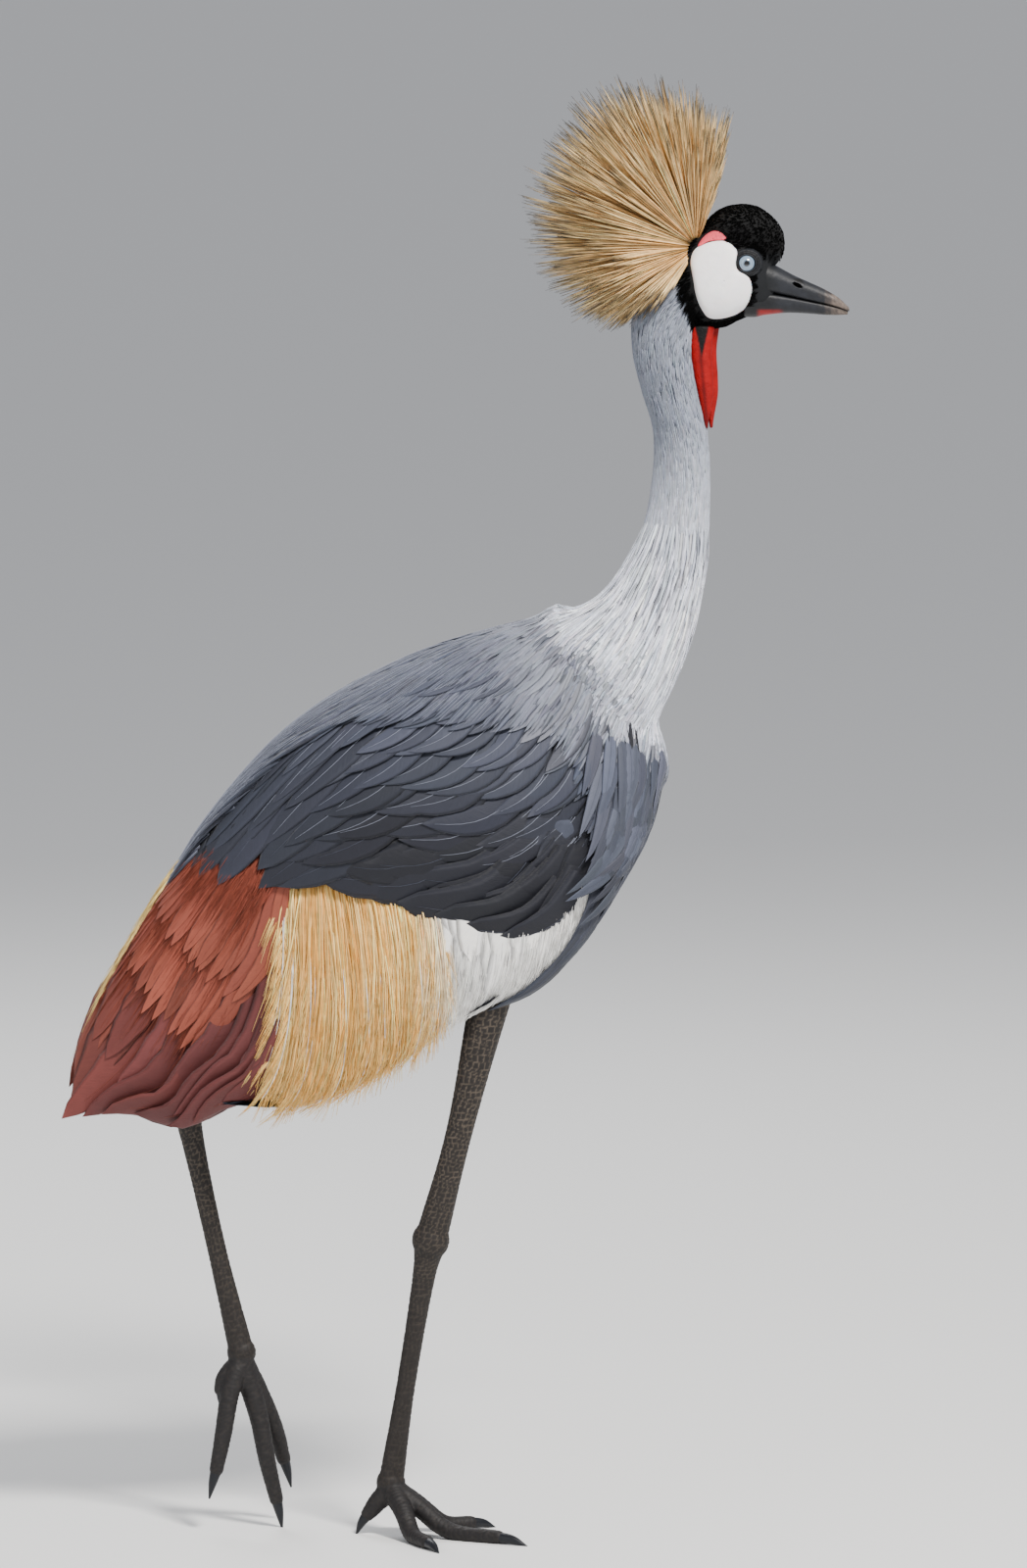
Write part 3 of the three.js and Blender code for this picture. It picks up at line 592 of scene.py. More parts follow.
class Flock:
    """Many small closed forms that make one mesh. Each is a row of rings of points."""

    def __init__(self, name):
        self.name = name
        self.points, self.corners, self.sizes = [], [], []
        self.hues, self.grain, self.bake = [], [], []
        self.total = 0

    def add(self, rings, hue, grain=(0, 0)):
        """rings: (forms, stations, sides, 3). hue: one colour, or one for each form or each point."""
        shape = rings.shape[:3]
        forms, stations, sides = shape
        index = np.arange(forms * stations * sides).reshape(shape) + self.total
        turned = np.roll(index, -1, axis=2)
        walls = np.stack([index[:, :-1], turned[:, :-1], turned[:, 1:], index[:, 1:]], -1)
        self.corners += [walls.ravel(), index[:, 0, ::-1].ravel(), index[:, -1].ravel()]
        self.sizes += [np.full(walls.size // 4, 4), np.full(2 * forms, sides)]
        self.points.append(rings.reshape(-1, 3))
        hue = np.asarray(hue, float)
        if hue.ndim == 2:
            hue = hue[:, None, None, :]
        self.hues.append(np.broadcast_to(hue, shape + (3,)).reshape(-1, 3))
        self.grain.append(np.broadcast_to(grain, shape + (2,)).reshape(-1, 2))
        roots = unwrap(rings[:, 0].mean(1))
        u = np.linspace(-0.5, 0.5, sides)[None, None, :]
        v = np.linspace(-0.5, 0.5, stations)[None, :, None]
        patch = np.stack(np.broadcast_arrays(u, v), -1) * PATCH
        self.bake.append((roots[:, None, None] + patch).reshape(-1, 2))
        self.total += forms * stations * sides

    def made(self, look_name, slot, *stands_for):
        """The piece that the forms make, with their colours and their places on the unwrap."""
        mesh = bpy.data.meshes.new(self.name)
        points = to_frame(np.concatenate(self.points))
        corners = np.concatenate(self.corners)
        sizes = np.concatenate(self.sizes)
        mesh.vertices.add(len(points))
        mesh.vertices.foreach_set("co", points.ravel())
        mesh.loops.add(len(corners))
        mesh.loops.foreach_set("vertex_index", corners)
        mesh.polygons.add(len(sizes))
        mesh.polygons.foreach_set("loop_start", np.concatenate([[0], np.cumsum(sizes)[:-1]]))
        mesh.polygons.foreach_set("loop_total", sizes)
        mesh.update(calc_edges=True)
        mesh.validate()
        hues = np.concatenate(self.hues)
        colour = mesh.color_attributes.new("hue", "FLOAT_COLOR", "POINT")
        colour.data.foreach_set("color", np.column_stack([hues, np.ones(len(hues))]).ravel())
        for layer, values in (("OFBake", self.bake), ("grain", self.grain)):
            uv = mesh.uv_layers.new(name=layer)
            uv.data.foreach_set("uv", np.concatenate(values)[corners].ravel())
        mesh.shade_smooth()
        piece(linked(self.name, mesh), look_name, slot, *stands_for)


def piece(made, look_name, slot, *stands_for):
    """Gives a mesh its material and its body, and hides the nodes that it replaces; slot is not used."""
    made.data.materials.clear()
    made.data.materials.append(LOOKS[look_name])
    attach(made, ROOT)
    if stands_for:
        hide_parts(*stands_for)


def blades(spine, up, half, camber=0.12, thick=0.35, columns=7, roll=0.0):
    """Closed thin vanes. spine and up: (forms, stations, 3). half: (forms, stations, 2), to each edge."""
    ahead = unit(np.gradient(spine, axis=1))
    across = unit(np.cross(ahead, up))
    over = np.cross(across, ahead)
    u = np.linspace(-1, 1, columns)
    x = np.where(u < 0, half[..., :1], half[..., 1:]) * u
    lift = camber * half.mean(-1, keepdims=True) * (1 - u * u) + roll * x
    top = spine[:, :, None] + across[:, :, None] * x[..., None] + over[:, :, None] * lift[..., None]
    inner = top[:, :, columns - 2:0:-1] - over[:, :, None] * thick
    return np.concatenate([top, inner], axis=2)


def blade_grain(spine, half, columns):
    """Millimetres across and along each vane, for the lines of its barbs."""
    steps = np.linalg.norm(np.diff(spine, axis=1), axis=-1)
    along = np.concatenate([np.zeros((len(spine), 1)), np.cumsum(steps, axis=1)], axis=1)
    u = np.linspace(-1, 1, columns)
    x = np.where(u < 0, half[..., :1], half[..., 1:]) * u
    x = np.concatenate([x, x[:, :, columns - 2:0:-1]], axis=2)
    return np.stack(np.broadcast_arrays(x, along[..., None]), -1)


def strands(spine, radius, sides=3):
    """Closed thin strands. spine: (forms, stations, 3). radius: (forms, stations)."""
    ahead = unit(np.gradient(spine, axis=1))
    across = unit(np.cross(ahead, [0.31, 0.9, 0.29]))
    over = np.cross(across, ahead)
    angle = np.arange(sides) / sides * 2 * np.pi
    reach = across[:, :, None] * np.cos(angle)[:, None] - over[:, :, None] * np.sin(angle)[:, None]
    return spine[:, :, None] + reach * radius[..., None, None]


def outline(t, root, belly, point, blunt):
    """How wide a vane is along its length: root share, where it is widest, and the shape of its tip."""
    rising = root + (1 - root) * smooth(t / belly)
    falling = np.clip(1 - np.clip((t - belly) / (1 - belly), 0, 1) ** point, 0, 1) ** blunt
    return np.where(t < belly, rising, falling)


def rimmed(hues, stations, columns, rim):
    """Each vane's colour, made lighter along its edges by a share."""
    u = np.abs(np.linspace(-1, 1, columns))
    u = np.concatenate([u, u[columns - 2:0:-1]])
    lighter = 1 + rim * fade(u, 0.55, 1)
    return np.clip(hues[:, None, None] * lighter[:, None] * np.ones((stations, 1, 1)), DARKEST, LIGHTEST)


def spaced(level, stations):
    """Heights from root to tip, spread over a number of stations."""
    return np.interp(shares(stations), shares(len(level)), level)


# How strongly a path keeps its way, and how strongly it turns to the way that the feathers lie
STRAIGHT_ON = 1.2
TURNING = 0.6


def walk(surface, draw, roots, length, stations, level, wild, aim=lie, sway=0.0):
    """Paths laid over a surface from their roots, and the way out of it along them.

    level gives heights over the surface, from root to tip, and aim the way that the feathers lie.
    """
    heights = spaced(level, stations)
    step = (length * np.ones(len(roots)) / (stations - 1))[:, None]
    swing = draw.normal(0, sway, (len(roots), 1)) if sway else 0.0
    place, way = surface.nearest(roots)
    flow = aim(place)
    flow = unit(flow + draw.normal(0, 1, flow.shape) * wild)
    spine = np.empty((len(roots), stations, 3))
    up = np.empty_like(spine)
    for k in range(stations):
        if k > 0:
            place, way = surface.nearest(place + flow * step)
            flow = unit(flow * STRAIGHT_ON + aim(place) * TURNING)
            flow = unit(flow + np.cross(way, flow) * swing)
        flow = unit(flow - (flow * way).sum(-1, keepdims=True) * way)
        spine[:, k] = place + way * heights[k]
        up[:, k] = way
    return spine, up


def shades(draw, base, count, light=0.12, warm=0.03):
    """A colour for each of many forms, varied in lightness and a little in warmth."""
    lighter = 1 + draw.normal(0, light, (count, 1))
    redder = 1 + draw.normal(0, warm, (count, 1))
    bluer = 1 + draw.normal(0, warm, (count, 1))
    warmth = np.concatenate([redder, np.ones((count, 1)), bluer], axis=1)
    return np.clip(base * lighter * warmth, DARKEST, LIGHTEST)


# Materials

# The lines of a vane's barbs: their slope, how close they lie, how fast they change across the vane, and how
# much of its shade they make.
BARB_LINES = {"slant": 1.1, "pitch": 1.6, "across": 0.09, "share": 0.65}
SHADE_SIZE = 6.0
NOISE_RANGE = (0.3, 0.7)
SOFT_REACH = (0.004, 0.0015, 0.001)


def socket(node, name, value):
    node.inputs[name].default_value = value


def look(name, rough, *, barbs=0.0, grain=0.0, grain_size=1.0, sheen=0.0, coat=0.0, specular=0.3,
         relief=0.0, relief_size=1.0, mottle=0.15, soft=0.0):
    """A material whose colour is each mesh's own, with fine variation. Sizes are in millimetres.

    barbs is how deep the lines of a vane's barbs are cut. grain and relief are bumps of two sizes.
    """
    material = bpy.data.materials.new(name)
    material.use_nodes = True
    nodes, links = material.node_tree.nodes, material.node_tree.links
    shader = nodes["Principled BSDF"]
    socket(shader, "Roughness", rough)
    socket(shader, "Specular IOR Level", specular)
    socket(shader, "Sheen Weight", sheen)
    socket(shader, "Coat Weight", coat)
    socket(shader, "Coat Roughness", 0.08)
    if soft:
        socket(shader, "Subsurface Weight", soft)
        socket(shader, "Subsurface Radius", SOFT_REACH)
    place = nodes.new("ShaderNodeTexCoord")

    def noise(size, detail=3.0, vector=None):
        """Noise in space with a size in millimetres, or along a vector with a scale."""
        made = nodes.new("ShaderNodeTexNoise")
        socket(made, "Scale", 1 / (size * MM) if vector is None else size)
        socket(made, "Detail", detail)
        links.new(vector or place.outputs["Object"], made.inputs["Vector"])
        return made.outputs["Fac"]

    def maths(kind, first, second):
        made = nodes.new("ShaderNodeMath")
        made.operation = kind
        for socket_at, value in zip(made.inputs, (first, second)):
            if isinstance(value, (int, float)):
                socket_at.default_value = value
            else:
                links.new(value, socket_at)
        return made.outputs[0]

    source = nodes.new("ShaderNodeAttribute")
    source.attribute_name = "hue"
    colour = source.outputs["Color"]
    shade = noise(SHADE_SIZE)
    heights = []
    if barbs:
        lines = nodes.new("ShaderNodeUVMap")
        lines.uv_map = "grain"
        split = nodes.new("ShaderNodeSeparateXYZ")
        links.new(lines.outputs[0], split.inputs[0])
        aside = maths("ABSOLUTE", split.outputs["X"], 0)
        phase = maths("SUBTRACT", split.outputs["Y"], maths("MULTIPLY", aside, BARB_LINES["slant"]))
        joined = nodes.new("ShaderNodeCombineXYZ")
        links.new(maths("MULTIPLY", phase, BARB_LINES["pitch"]), joined.inputs["X"])
        links.new(maths("MULTIPLY", split.outputs["X"], BARB_LINES["across"]), joined.inputs["Y"])
        streaks = noise(1.0, 2.0, joined.outputs[0])
        plain = maths("MULTIPLY", shade, 1 - BARB_LINES["share"])
        shade = maths("ADD", plain, maths("MULTIPLY", streaks, BARB_LINES["share"]))
        heights.append(maths("MULTIPLY", streaks, barbs))
    if grain:
        heights.append(maths("MULTIPLY", noise(grain_size), grain))
    if relief:
        heights.append(maths("MULTIPLY", noise(relief_size, 4.0), relief))
    ramp = nodes.new("ShaderNodeMapRange")
    socket(ramp, "From Min", NOISE_RANGE[0])
    socket(ramp, "From Max", NOISE_RANGE[1])
    socket(ramp, "To Min", 1 - mottle)
    socket(ramp, "To Max", 1 + mottle)
    links.new(shade, ramp.inputs["Value"])
    tone = nodes.new("ShaderNodeVectorMath")
    tone.operation = "SCALE"
    links.new(colour, tone.inputs[0])
    links.new(ramp.outputs[0], tone.inputs["Scale"])
    links.new(tone.outputs[0], shader.inputs["Base Color"])
    if heights:
        bump = nodes.new("ShaderNodeBump")
        socket(bump, "Strength", 1.0)
        socket(bump, "Distance", MM)
        height = heights[0] if len(heights) == 1 else maths("ADD", *heights)
        links.new(height, bump.inputs["Height"])
        links.new(bump.outputs[0], shader.inputs["Normal"])
    return material


COLOURS = {
    "black": "#020203", "bare": "#101215", "neck": "#868c99", "hackle": "#c9cdd8", "mantle": "#464a58",
    "slate": "#282b36", "dusk": "#15161e", "breast": "#3c404c", "shaft": "#868b9a", "white": "#f2f1ee",
    "gold": "#e6a850", "pale_gold": "#fbd88e", "rust": "#824031", "maroon": "#5c2b2a",
    # The second cheek colour here is painted shade for the cheek's lower part.
    "straw": "#e8a44c", "pale_straw": "#ffe2a8", "cheek": "#f8f5f6", "cheek_shade": "#dccfd0",
    "lid": "#17191d", "scarlet": "#820204", "pink": "#d9505e", "bill": "#1b1d22", "horn": "#6f6259",
    "leg": "#1e1a18", "seam": "#655a4e", "claw": "#15171c",
}
PALETTE = {name: paint(code) for name, code in COLOURS.items()}

FINISHES = {
    "skin": {"rough": 0.85, "grain": 0.25, "grain_size": 1.2},
    "velvet": {"rough": 0.95, "specular": 0.03, "mottle": 0.3},
    "down": {"rough": 0.75, "specular": 0.25, "mottle": 0.12},
    "vane": {"rough": 0.6, "barbs": 0.3, "specular": 0.3, "sheen": 0.05, "mottle": 0.12},
    "soft_vane": {"rough": 0.8, "barbs": 0.25, "specular": 0.2, "sheen": 0.2, "mottle": 0.08},
    "shaft": {"rough": 0.45, "specular": 0.4, "mottle": 0.1},
    "bristle": {"rough": 0.5, "specular": 0.4, "mottle": 0.2},
    "cheek": {
        "rough": 0.5, "grain": 0.06, "grain_size": 0.8, "relief": 0.35, "relief_size": 6, "mottle": 0.03,
        "soft": 0.2,
    },
    "wattle": {
        "rough": 0.6, "grain": 0.5, "grain_size": 1.1, "relief": 0.5, "relief_size": 4, "mottle": 0.2,
        "specular": 0.2,
    },
    "eye": {"rough": 0.12, "coat": 1.0, "specular": 0.5, "mottle": 0.06},
    "lid": {"rough": 0.55, "grain": 0.25, "grain_size": 0.6, "relief": 0.4, "relief_size": 2},
    "bill": {
        "rough": 0.5, "grain": 0.08, "grain_size": 0.5, "relief": 0.35, "relief_size": 4, "mottle": 0.25,
    },
    "scales": {"rough": 0.6, "grain": 0.12, "grain_size": 0.5, "mottle": 0.2},
    "claw": {"rough": 0.35, "grain": 0.1, "grain_size": 0.8, "relief": 0.3, "relief_size": 4},
}
LOOKS = {name: look(name, **finish) for name, finish in FINISHES.items()}


def tint(hues, name, share):
    """Colours mixed towards one of the palette by a share for each."""
    return mix(hues, PALETTE[name], np.asarray(share)[..., None])


# Where each colour lies

# The back edge of the face's black, as places up and forward
BLACK_EDGE = [[856, 221], [867, 216.5], [878, 212], [892, 207], [905, 205], [922, 212], [935, 216]]
# Rows of the neck's table between which the grey of the upper neck turns light, and then into the body's
HACKLE_ROWS = (3, 7)
BODY_ROWS = (9.3, 12.3)
# Heights between which the body's grey and the shoulder change, and where the bare skin by the bill starts
BODY_RISE = (-40, 50)
SHOULDER = {"sooner": 1.5, "rise": (600, 660)}
BARE = {"ahead_of": (256, 262), "below": 921}
black_edge = through(BLACK_EDGE)


def neck_place(points):
    """How far down the neck points lie, in rows of its table: below 0 on the head, past 11 on the body."""
    _, i = near_axis(points)
    return i / (len(AXIS) - 1) * (len(AXIS_POINTS) - 1) - (len(AXIS_HEAD) - 1)


def is_black(points):
    """Whether points lie on the black of face and crown."""
    x, z = points[..., 0], points[..., 2]
    lowest, highest = BLACK_EDGE[0][0], BLACK_EDGE[-1][0]
    return (x > black_edge(np.clip(z, lowest, highest))[..., 0]) & (z > lowest)


def body_place(points):
    """Distance along the body's axis, and height over it."""
    x, z = points[..., 0] - BREAST[0], points[..., 2] - BREAST[1]
    return -math.cos(SLOPE) * x - math.sin(SLOPE) * z, -math.sin(SLOPE) * x + math.cos(SLOPE) * z


def slate_at(height):
    """The grey of the body's feathers, darker towards the belly."""
    return tint(PALETTE["breast"], "mantle", fade(height, *BODY_RISE))


def shoulder(points):
    """How much sooner the light hackles end on the back than on the breast, in rows of the neck."""
    return SHOULDER["sooner"] * fade(points[..., 2], *SHOULDER["rise"])


def marking(points):
    """The colour of skin and coat at points."""
    down = neck_place(points)
    _, height = body_place(points)
    hue = tint(PALETTE["neck"], "hackle", fade(down, *HACKLE_ROWS))
    hue = mix(hue, slate_at(height), fade(down + shoulder(points), *BODY_ROWS)[..., None])
    hue = np.where(is_black(points)[..., None], PALETTE["black"], hue)
    by_bill = fade(points[..., 0], *BARE["ahead_of"]) * (points[..., 2] < BARE["below"])
    return tint(hue, "bare", by_bill)


def coloured(made, hues):
    """Gives a mesh one colour, or one for each of its points."""
    count = len(made.data.vertices)
    colour = made.data.color_attributes.new("hue", "FLOAT_COLOR", "POINT")
    rows = np.column_stack([np.broadcast_to(hues, (count, 3)), np.ones(count)])
    colour.data.foreach_set("color", rows.ravel())


# The skin under the coat, and the surface that the coat's feathers are laid over

# How far each part is drawn in from the sizes above.
SKIN_IN = {"torso": 3.0, "wings": 13.0, "neck": 1.5, "head": 0.3, "cap": 1.3, "thighs": 2.0}
GUIDE_IN = {"torso": 0.0, "wings": 1.0, "neck": 0.0, "head": 0.0, "cap": 1.0, "thighs": 0.0}
FLESH = ["head", "neck_upper", "neck_lower", "torso", "cap"]
# Where the tubes of torso and wings start and end along the body, how far round the wings go, and how they
# thin towards their ends.
TORSO_RUN = (6, 352)
WING_RUN = (18, 404)
WING_ANGLES = (4, 160)
WING_THINNING = {"from": 330, "rate": 0.16}


def body_tubes(inset):
    """Tubes of torso, wings, neck, head, cap and thighs."""
    angle = np.linspace(0, 360, 40, endpoint=False)
    torso = np.array([on_torso(along, angle, -inset["torso"]) for along in np.linspace(*TORSO_RUN, 40)])
    down = np.linspace(*WING_ANGLES, 22)
    side = np.repeat([-1, 1], len(down))
    down = np.concatenate([down, down[::-1]])
    wings = []
    for along in np.linspace(*WING_RUN, 44):
        thinner = max(0, along - WING_THINNING["from"]) * WING_THINNING["rate"]
        wings.append(on_wing(side, along, down, -inset["wings"] - thinner))
    tubes = [
        capped(torso),
        np.array(wings),
        section_rings(NECK, 40, 28, grow=-inset["neck"]),
        section_rings(HEAD, 24, 28, grow=-inset["head"]),
        section_rings(CAP, 20, 24, grow=-inset["cap"]),
    ]
    for rows in THIGHS.values():
        path, radii = zip(*rows)
        tubes.append(stalk_rings(path, radii, 16, 20, grow=-inset["thighs"]))
    return tubes


skin = fused("skin", body_tubes(SKIN_IN), voxel=2.1, rounds=6)
coloured(skin, marking(points_of(skin)))
guide = fused("guide", body_tubes(GUIDE_IN), voxel=3.0, rounds=6)
coat = Surface(guide)
bpy.data.objects.remove(guide)
skin_surface = Surface(skin)
piece(skin, "skin", "slate_feathers", *FLESH)


# Feathers laid over neck and body

PATH_SEED = 1


def tufts(name, look_name, slot, roots, hue, *, draw, length, width, light, level, stations, wild):
    """Fine pointed tufts, three sided."""
    hues = shades(draw, hue, len(roots), light)
    path_draw = default_rng(PATH_SEED)
    spine, _ = walk(coat, path_draw, roots, length, stations, level, wild)
    t = shares(stations)
    radius = width / 2 * np.clip(1 - t ** 2, 0.06, 1) * path_draw.uniform(0.8, 1.2, (len(roots), 1))
    flock = Flock(name)
    flock.add(strands(spine, radius), hues)
    flock.made(look_name, slot)


def lances(name, look_name, slot, roots, hue, *, draw, length, width, level, stations, wild, light=0.12,
           columns=3, aim=lie, shaft=None, belly=0.4, sway=0.0, rim=0.0, camber=0.2):
    """Narrow pointed feathers, each with its shaft if shaft gives its colour."""
    hues = shades(draw, hue, len(roots), light)
    path_draw = default_rng(PATH_SEED)
    spine, up = walk(coat, path_draw, roots, length, stations, level, wild, aim, sway)
    widths = width * np.ones(len(roots))
    half = outline(shares(stations), 0.5, belly, 1.5, 0.8) * widths[:, None] / 2
    half = np.stack([half, half], -1) * path_draw.uniform(0.85, 1.15, (len(roots), 1, 2))
    flock = Flock(name)
    flock.add(blades(spine, up, half, camber=camber, columns=columns), rimmed(hues, stations, columns, rim),
              blade_grain(spine, half, columns))
    if shaft is not None:
        raised = spine + up * (camber * half.mean(-1)[..., None] + 0.05)
        flock.add(strands(raised, np.linspace(0.24, 0.1, stations) * np.ones((len(roots), 1))), shaft)
    flock.made(look_name, slot)


def inside(points, outline_xz, margin):
    """Whether points lie inside an outline in side view, grown by a margin."""
    outline_xz = np.array(outline_xz, float)
    grown = outline_xz + unit(outline_xz - outline_xz.mean(0)) * margin
    x, z = points[..., 0], points[..., 2]
    found = np.zeros(x.shape, bool)
    for (x0, z0), (x1, z1) in zip(grown, np.roll(grown, -1, axis=0)):
        crosses = (z0 > z) != (z1 > z)
        with np.errstate(divide="ignore", invalid="ignore"):
            found ^= crosses & (x < (x1 - x0) * (z - z0) / (z1 - z0) + x0)
    return found


# The places that every kind of feather takes its roots from
PLACES = 160000
root_draw = default_rng(11)
places = coat.scatter(root_draw, PLACES)
place_x, place_y, place_z = places.T
down = neck_place(places)
over_shoulder = down + shoulder(places)
black = is_black(places)
along, height = body_place(places)
wing_top, wing_middle, _, wing_half = wing_at(np.clip(along, 0, WINGS[-1][0])).T
turned_down = np.degrees(np.arccos(np.clip((height - wing_middle) / (wing_top - wing_middle), -1, 1)))


def sample(mask, count):
    """Some of the places that a mask lets through."""
    return places[root_draw.permutation(np.flatnonzero(mask))[:count]]


# Below, from_row and to_row are rows of the neck's table, and run is a stretch along the body.

# The cap's velvet, pushed up off the crown, and the short feathers round the face
BILL_BASE = 262
CROWN = {"count": 15000, "over": 928, "ahead_of": 219, "over_bill": 917}
FACE = {"count": 9000, "to_row": 4, "clear_of_eye": 11}
by_cheek = inside(places, CHEEK, 1) | inside(places, CHEEK_RED, 1)
crown = (place_z > CROWN["over"]) & (place_x > CROWN["ahead_of"]) & ~by_cheek
crown |= (place_x > BILL_BASE) & (place_z > CROWN["over_bill"])
tufts("cap_velvet", "velvet", "black_feathers", sample(crown, CROWN["count"]), PALETTE["black"],
      draw=default_rng(3), length=2.6, width=0.9, light=0.18, level=[-0.6, 0.7, 1.1], stations=3, wild=0.5)
by_eye = np.hypot(place_x - EYE["x"], place_z - EYE["z"]) < FACE["clear_of_eye"]
face = black & (down < FACE["to_row"]) & ~(crown | by_cheek | by_eye | (place_x > BILL_BASE))
tufts("face_feathers", "velvet", "black_feathers", sample(face, FACE["count"]), PALETTE["black"],
      draw=default_rng(4), length=5.0, width=0.9, light=0.3, level=[-0.4, 0.6, 0.7], stations=4, wild=0.2)

# The neck: hair-fine feathers above, and long hackles below that hang over the shoulders. Sizes are given at
# rows of the neck's table.
NECK_FEATHERS = {"count": 4800, "rows": (0.1, 8), "length": ([0, 7], [9, 26]), "width": ([0, 7], [1.0, 1.5])}
HACKLES = {
    "count": 2400,
    "from_row": 5.6,
    "to_row": 11.7,
    "length": ([6, 9.5, 11.4], [32, 54, 38]),
    "width": ([6, 11], [2.2, 4.4]),
}
for name, side in SIDES.items():
    on_side = ~black & within(down, NECK_FEATHERS["rows"]) & (place_y * side >= 0)
    fine = sample(on_side, NECK_FEATHERS["count"])
    fine_down = neck_place(fine)
    tufts(f"neck_feathers_{name}", "down", "grey_feathers", fine, marking(fine), draw=default_rng(5),
          length=np.interp(fine_down, *NECK_FEATHERS["length"]),
          width=np.interp(fine_down, *NECK_FEATHERS["width"])[:, None],
          light=0.13, level=[-0.8, 0.2, 0.35, 0.1], stations=4, wild=0.04)
on_hackles = ~black & (down > HACKLES["from_row"]) & (over_shoulder < HACKLES["to_row"])
hackle = sample(on_hackles, HACKLES["count"])
hackle_down = neck_place(hackle) + shoulder(hackle)
lances("hackles", "down", "grey_feathers", hackle, marking(hackle), draw=default_rng(6),
       length=np.interp(hackle_down, *HACKLES["length"]), width=np.interp(hackle_down, *HACKLES["width"]),
       light=0.26, level=[-1, 1.2, 2.4, 2.0], stations=6, wild=0.09, sway=0.02, rim=0.12)

# The back between the wings. Sizes and the edge's degrees are given at distances along the body.
MANTLE = {
    "count": 2000,
    "from_row": 11.3,
    "run": (4, 345),
    "edge": ([40, 90, 150, 345], [62, 46, 34, 26]),
    "length": ([0, 90, 300], [30, 44, 62]),
    "width": ([0, 90, 300], [5, 6, 8.5]),
}
on_back = (over_shoulder > MANTLE["from_row"]) & within(along, MANTLE["run"])
mantle = sample(on_back & (turned_down < np.interp(along, *MANTLE["edge"])), MANTLE["count"])
mantle_along, mantle_height = body_place(mantle)
mantle_hues = tint(slate_at(mantle_height), "slate", fade(mantle_along, 60, 300) * 0.7)
mantle_hues = tint(mantle_hues, "hackle", fade(mantle_along, 88, 18) * 0.34)
lances("mantle", "vane", "slate_feathers", mantle, mantle_hues, draw=default_rng(7),
       length=np.interp(mantle_along, *MANTLE["length"]), width=np.interp(mantle_along, *MANTLE["width"]),
       level=[-2, 1.2, 2.0, 2.0], stations=6, shaft=PALETTE["shaft"], wild=0.08, rim=0.5, camber=0.12)

# The belly between the wings, and the front of the breast
BELLY = {"count": 1700, "run": (6, 395), "under": 0, "from_row": 11, "share": 0.6}
BREAST_FRONT = {"run": (-2, 46), "under": 40, "from_row": 10}
under = within(along, BELLY["run"]) & (height < BELLY["under"]) & (down > BELLY["from_row"])
under &= np.abs(place_y) < BELLY["share"] * wing_half
front = within(along, BREAST_FRONT["run"]) & (height < BREAST_FRONT["under"])
under |= front & (down > BREAST_FRONT["from_row"])
belly = sample(under, BELLY["count"])
belly_height = body_place(belly)[1]
belly_hues = mix(PALETTE["breast"] * 0.7, slate_at(belly_height), fade(belly_height, -60, -10)[:, None])
lances("belly_feathers", "down", "slate_feathers", belly, belly_hues, draw=default_rng(8), length=26.0,
       width=9.5, level=[-2, 0, 1.2, 1.4], wild=0.1, stations=5)

# The long plumes of the breast, and the thighs' short dark feathers
HANG = unit(np.array([-0.3, 0.0, -1.0]))
BACKWARD = unit(np.array([-math.cos(SLOPE), 0.0, -math.sin(SLOPE)]))
BREAST_PLUMES = {"count": 210, "length": (50, 92), "run": (-2, 32), "height": (-60, 66), "from_row": 11}
# reach is how far from the thigh's points they stand, and under and below how low.
THIGH_FEATHERS = {"count": 1800, "reach": 12, "under": -60, "below": 396}


def droop(points):
    """The way that the long plumes of the breast hang: down its front, then back along the belly."""
    _, height_here = body_place(points)
    return unit(mix(HANG, BACKWARD, fade(height_here, -10, -80)[..., None]))


def down_the_leg(points):
    """The way that the thigh's feathers hang."""
    return np.broadcast_to(HANG, points.shape)


on_breast = within(along, BREAST_PLUMES["run"]) & within(height, BREAST_PLUMES["height"])
plume = sample(on_breast & (down > BREAST_PLUMES["from_row"]), BREAST_PLUMES["count"])
plume_draw = default_rng(9)
lances("breast_plumes", "vane", "slate_feathers", plume, slate_at(body_place(plume)[1]),
       length=plume_draw.uniform(*BREAST_PLUMES["length"], len(plume)), draw=plume_draw, width=9.5,
       light=0.24, level=[-1, 2.5, 3.8, 3.4], columns=7, stations=12, shaft=PALETTE["mantle"], aim=droop,
       wild=0.12, sway=0.035, rim=0.5, camber=0.12, belly=0.5)
thigh = np.zeros(len(places), bool)
for thigh_rows in THIGHS.values():
    for centre, thickness in thigh_rows[1:]:
        thigh |= np.linalg.norm(places - np.array(centre), axis=-1) < thickness + THIGH_FEATHERS["reach"]
thigh &= (height < THIGH_FEATHERS["under"]) & (place_z < THIGH_FEATHERS["below"])
lances("thigh_feathers", "down", "black_feathers", sample(thigh, THIGH_FEATHERS["count"]), PALETTE["dusk"],
       draw=default_rng(10), length=17.0, width=4.5, level=[-1.5, 0.6, 1.2], aim=down_the_leg, wild=0.12,
       stations=5)


# The folded wings

# The share of a vane's length that its shaft runs along.
SHAFT_SHARE = 0.92


def on_plane(rows):
    """A curve through places on a wing, each a distance and an angle, as distances both ways."""
    rows = np.array(rows, float)
    return spread(np.column_stack([rows[:, 0], np.radians(rows[:, 1]) * WING_ROUND]))


def fan(rows, at):
    """Roots and tips of feathers that stand at shares of a fan."""
    return on_plane(rows["roots"])(at), on_plane(rows["tips"])(at)


def between(draw, rows, at, limits, scatter=2.0):
    """Places between the roots and tips of a fan, and the way from one to the other."""
    start, end = fan(rows, at)
    share = draw.uniform(*limits, (len(at), 1))
    return mix(start, end, share) + draw.normal(0, scatter, start.shape), unit(end - start)


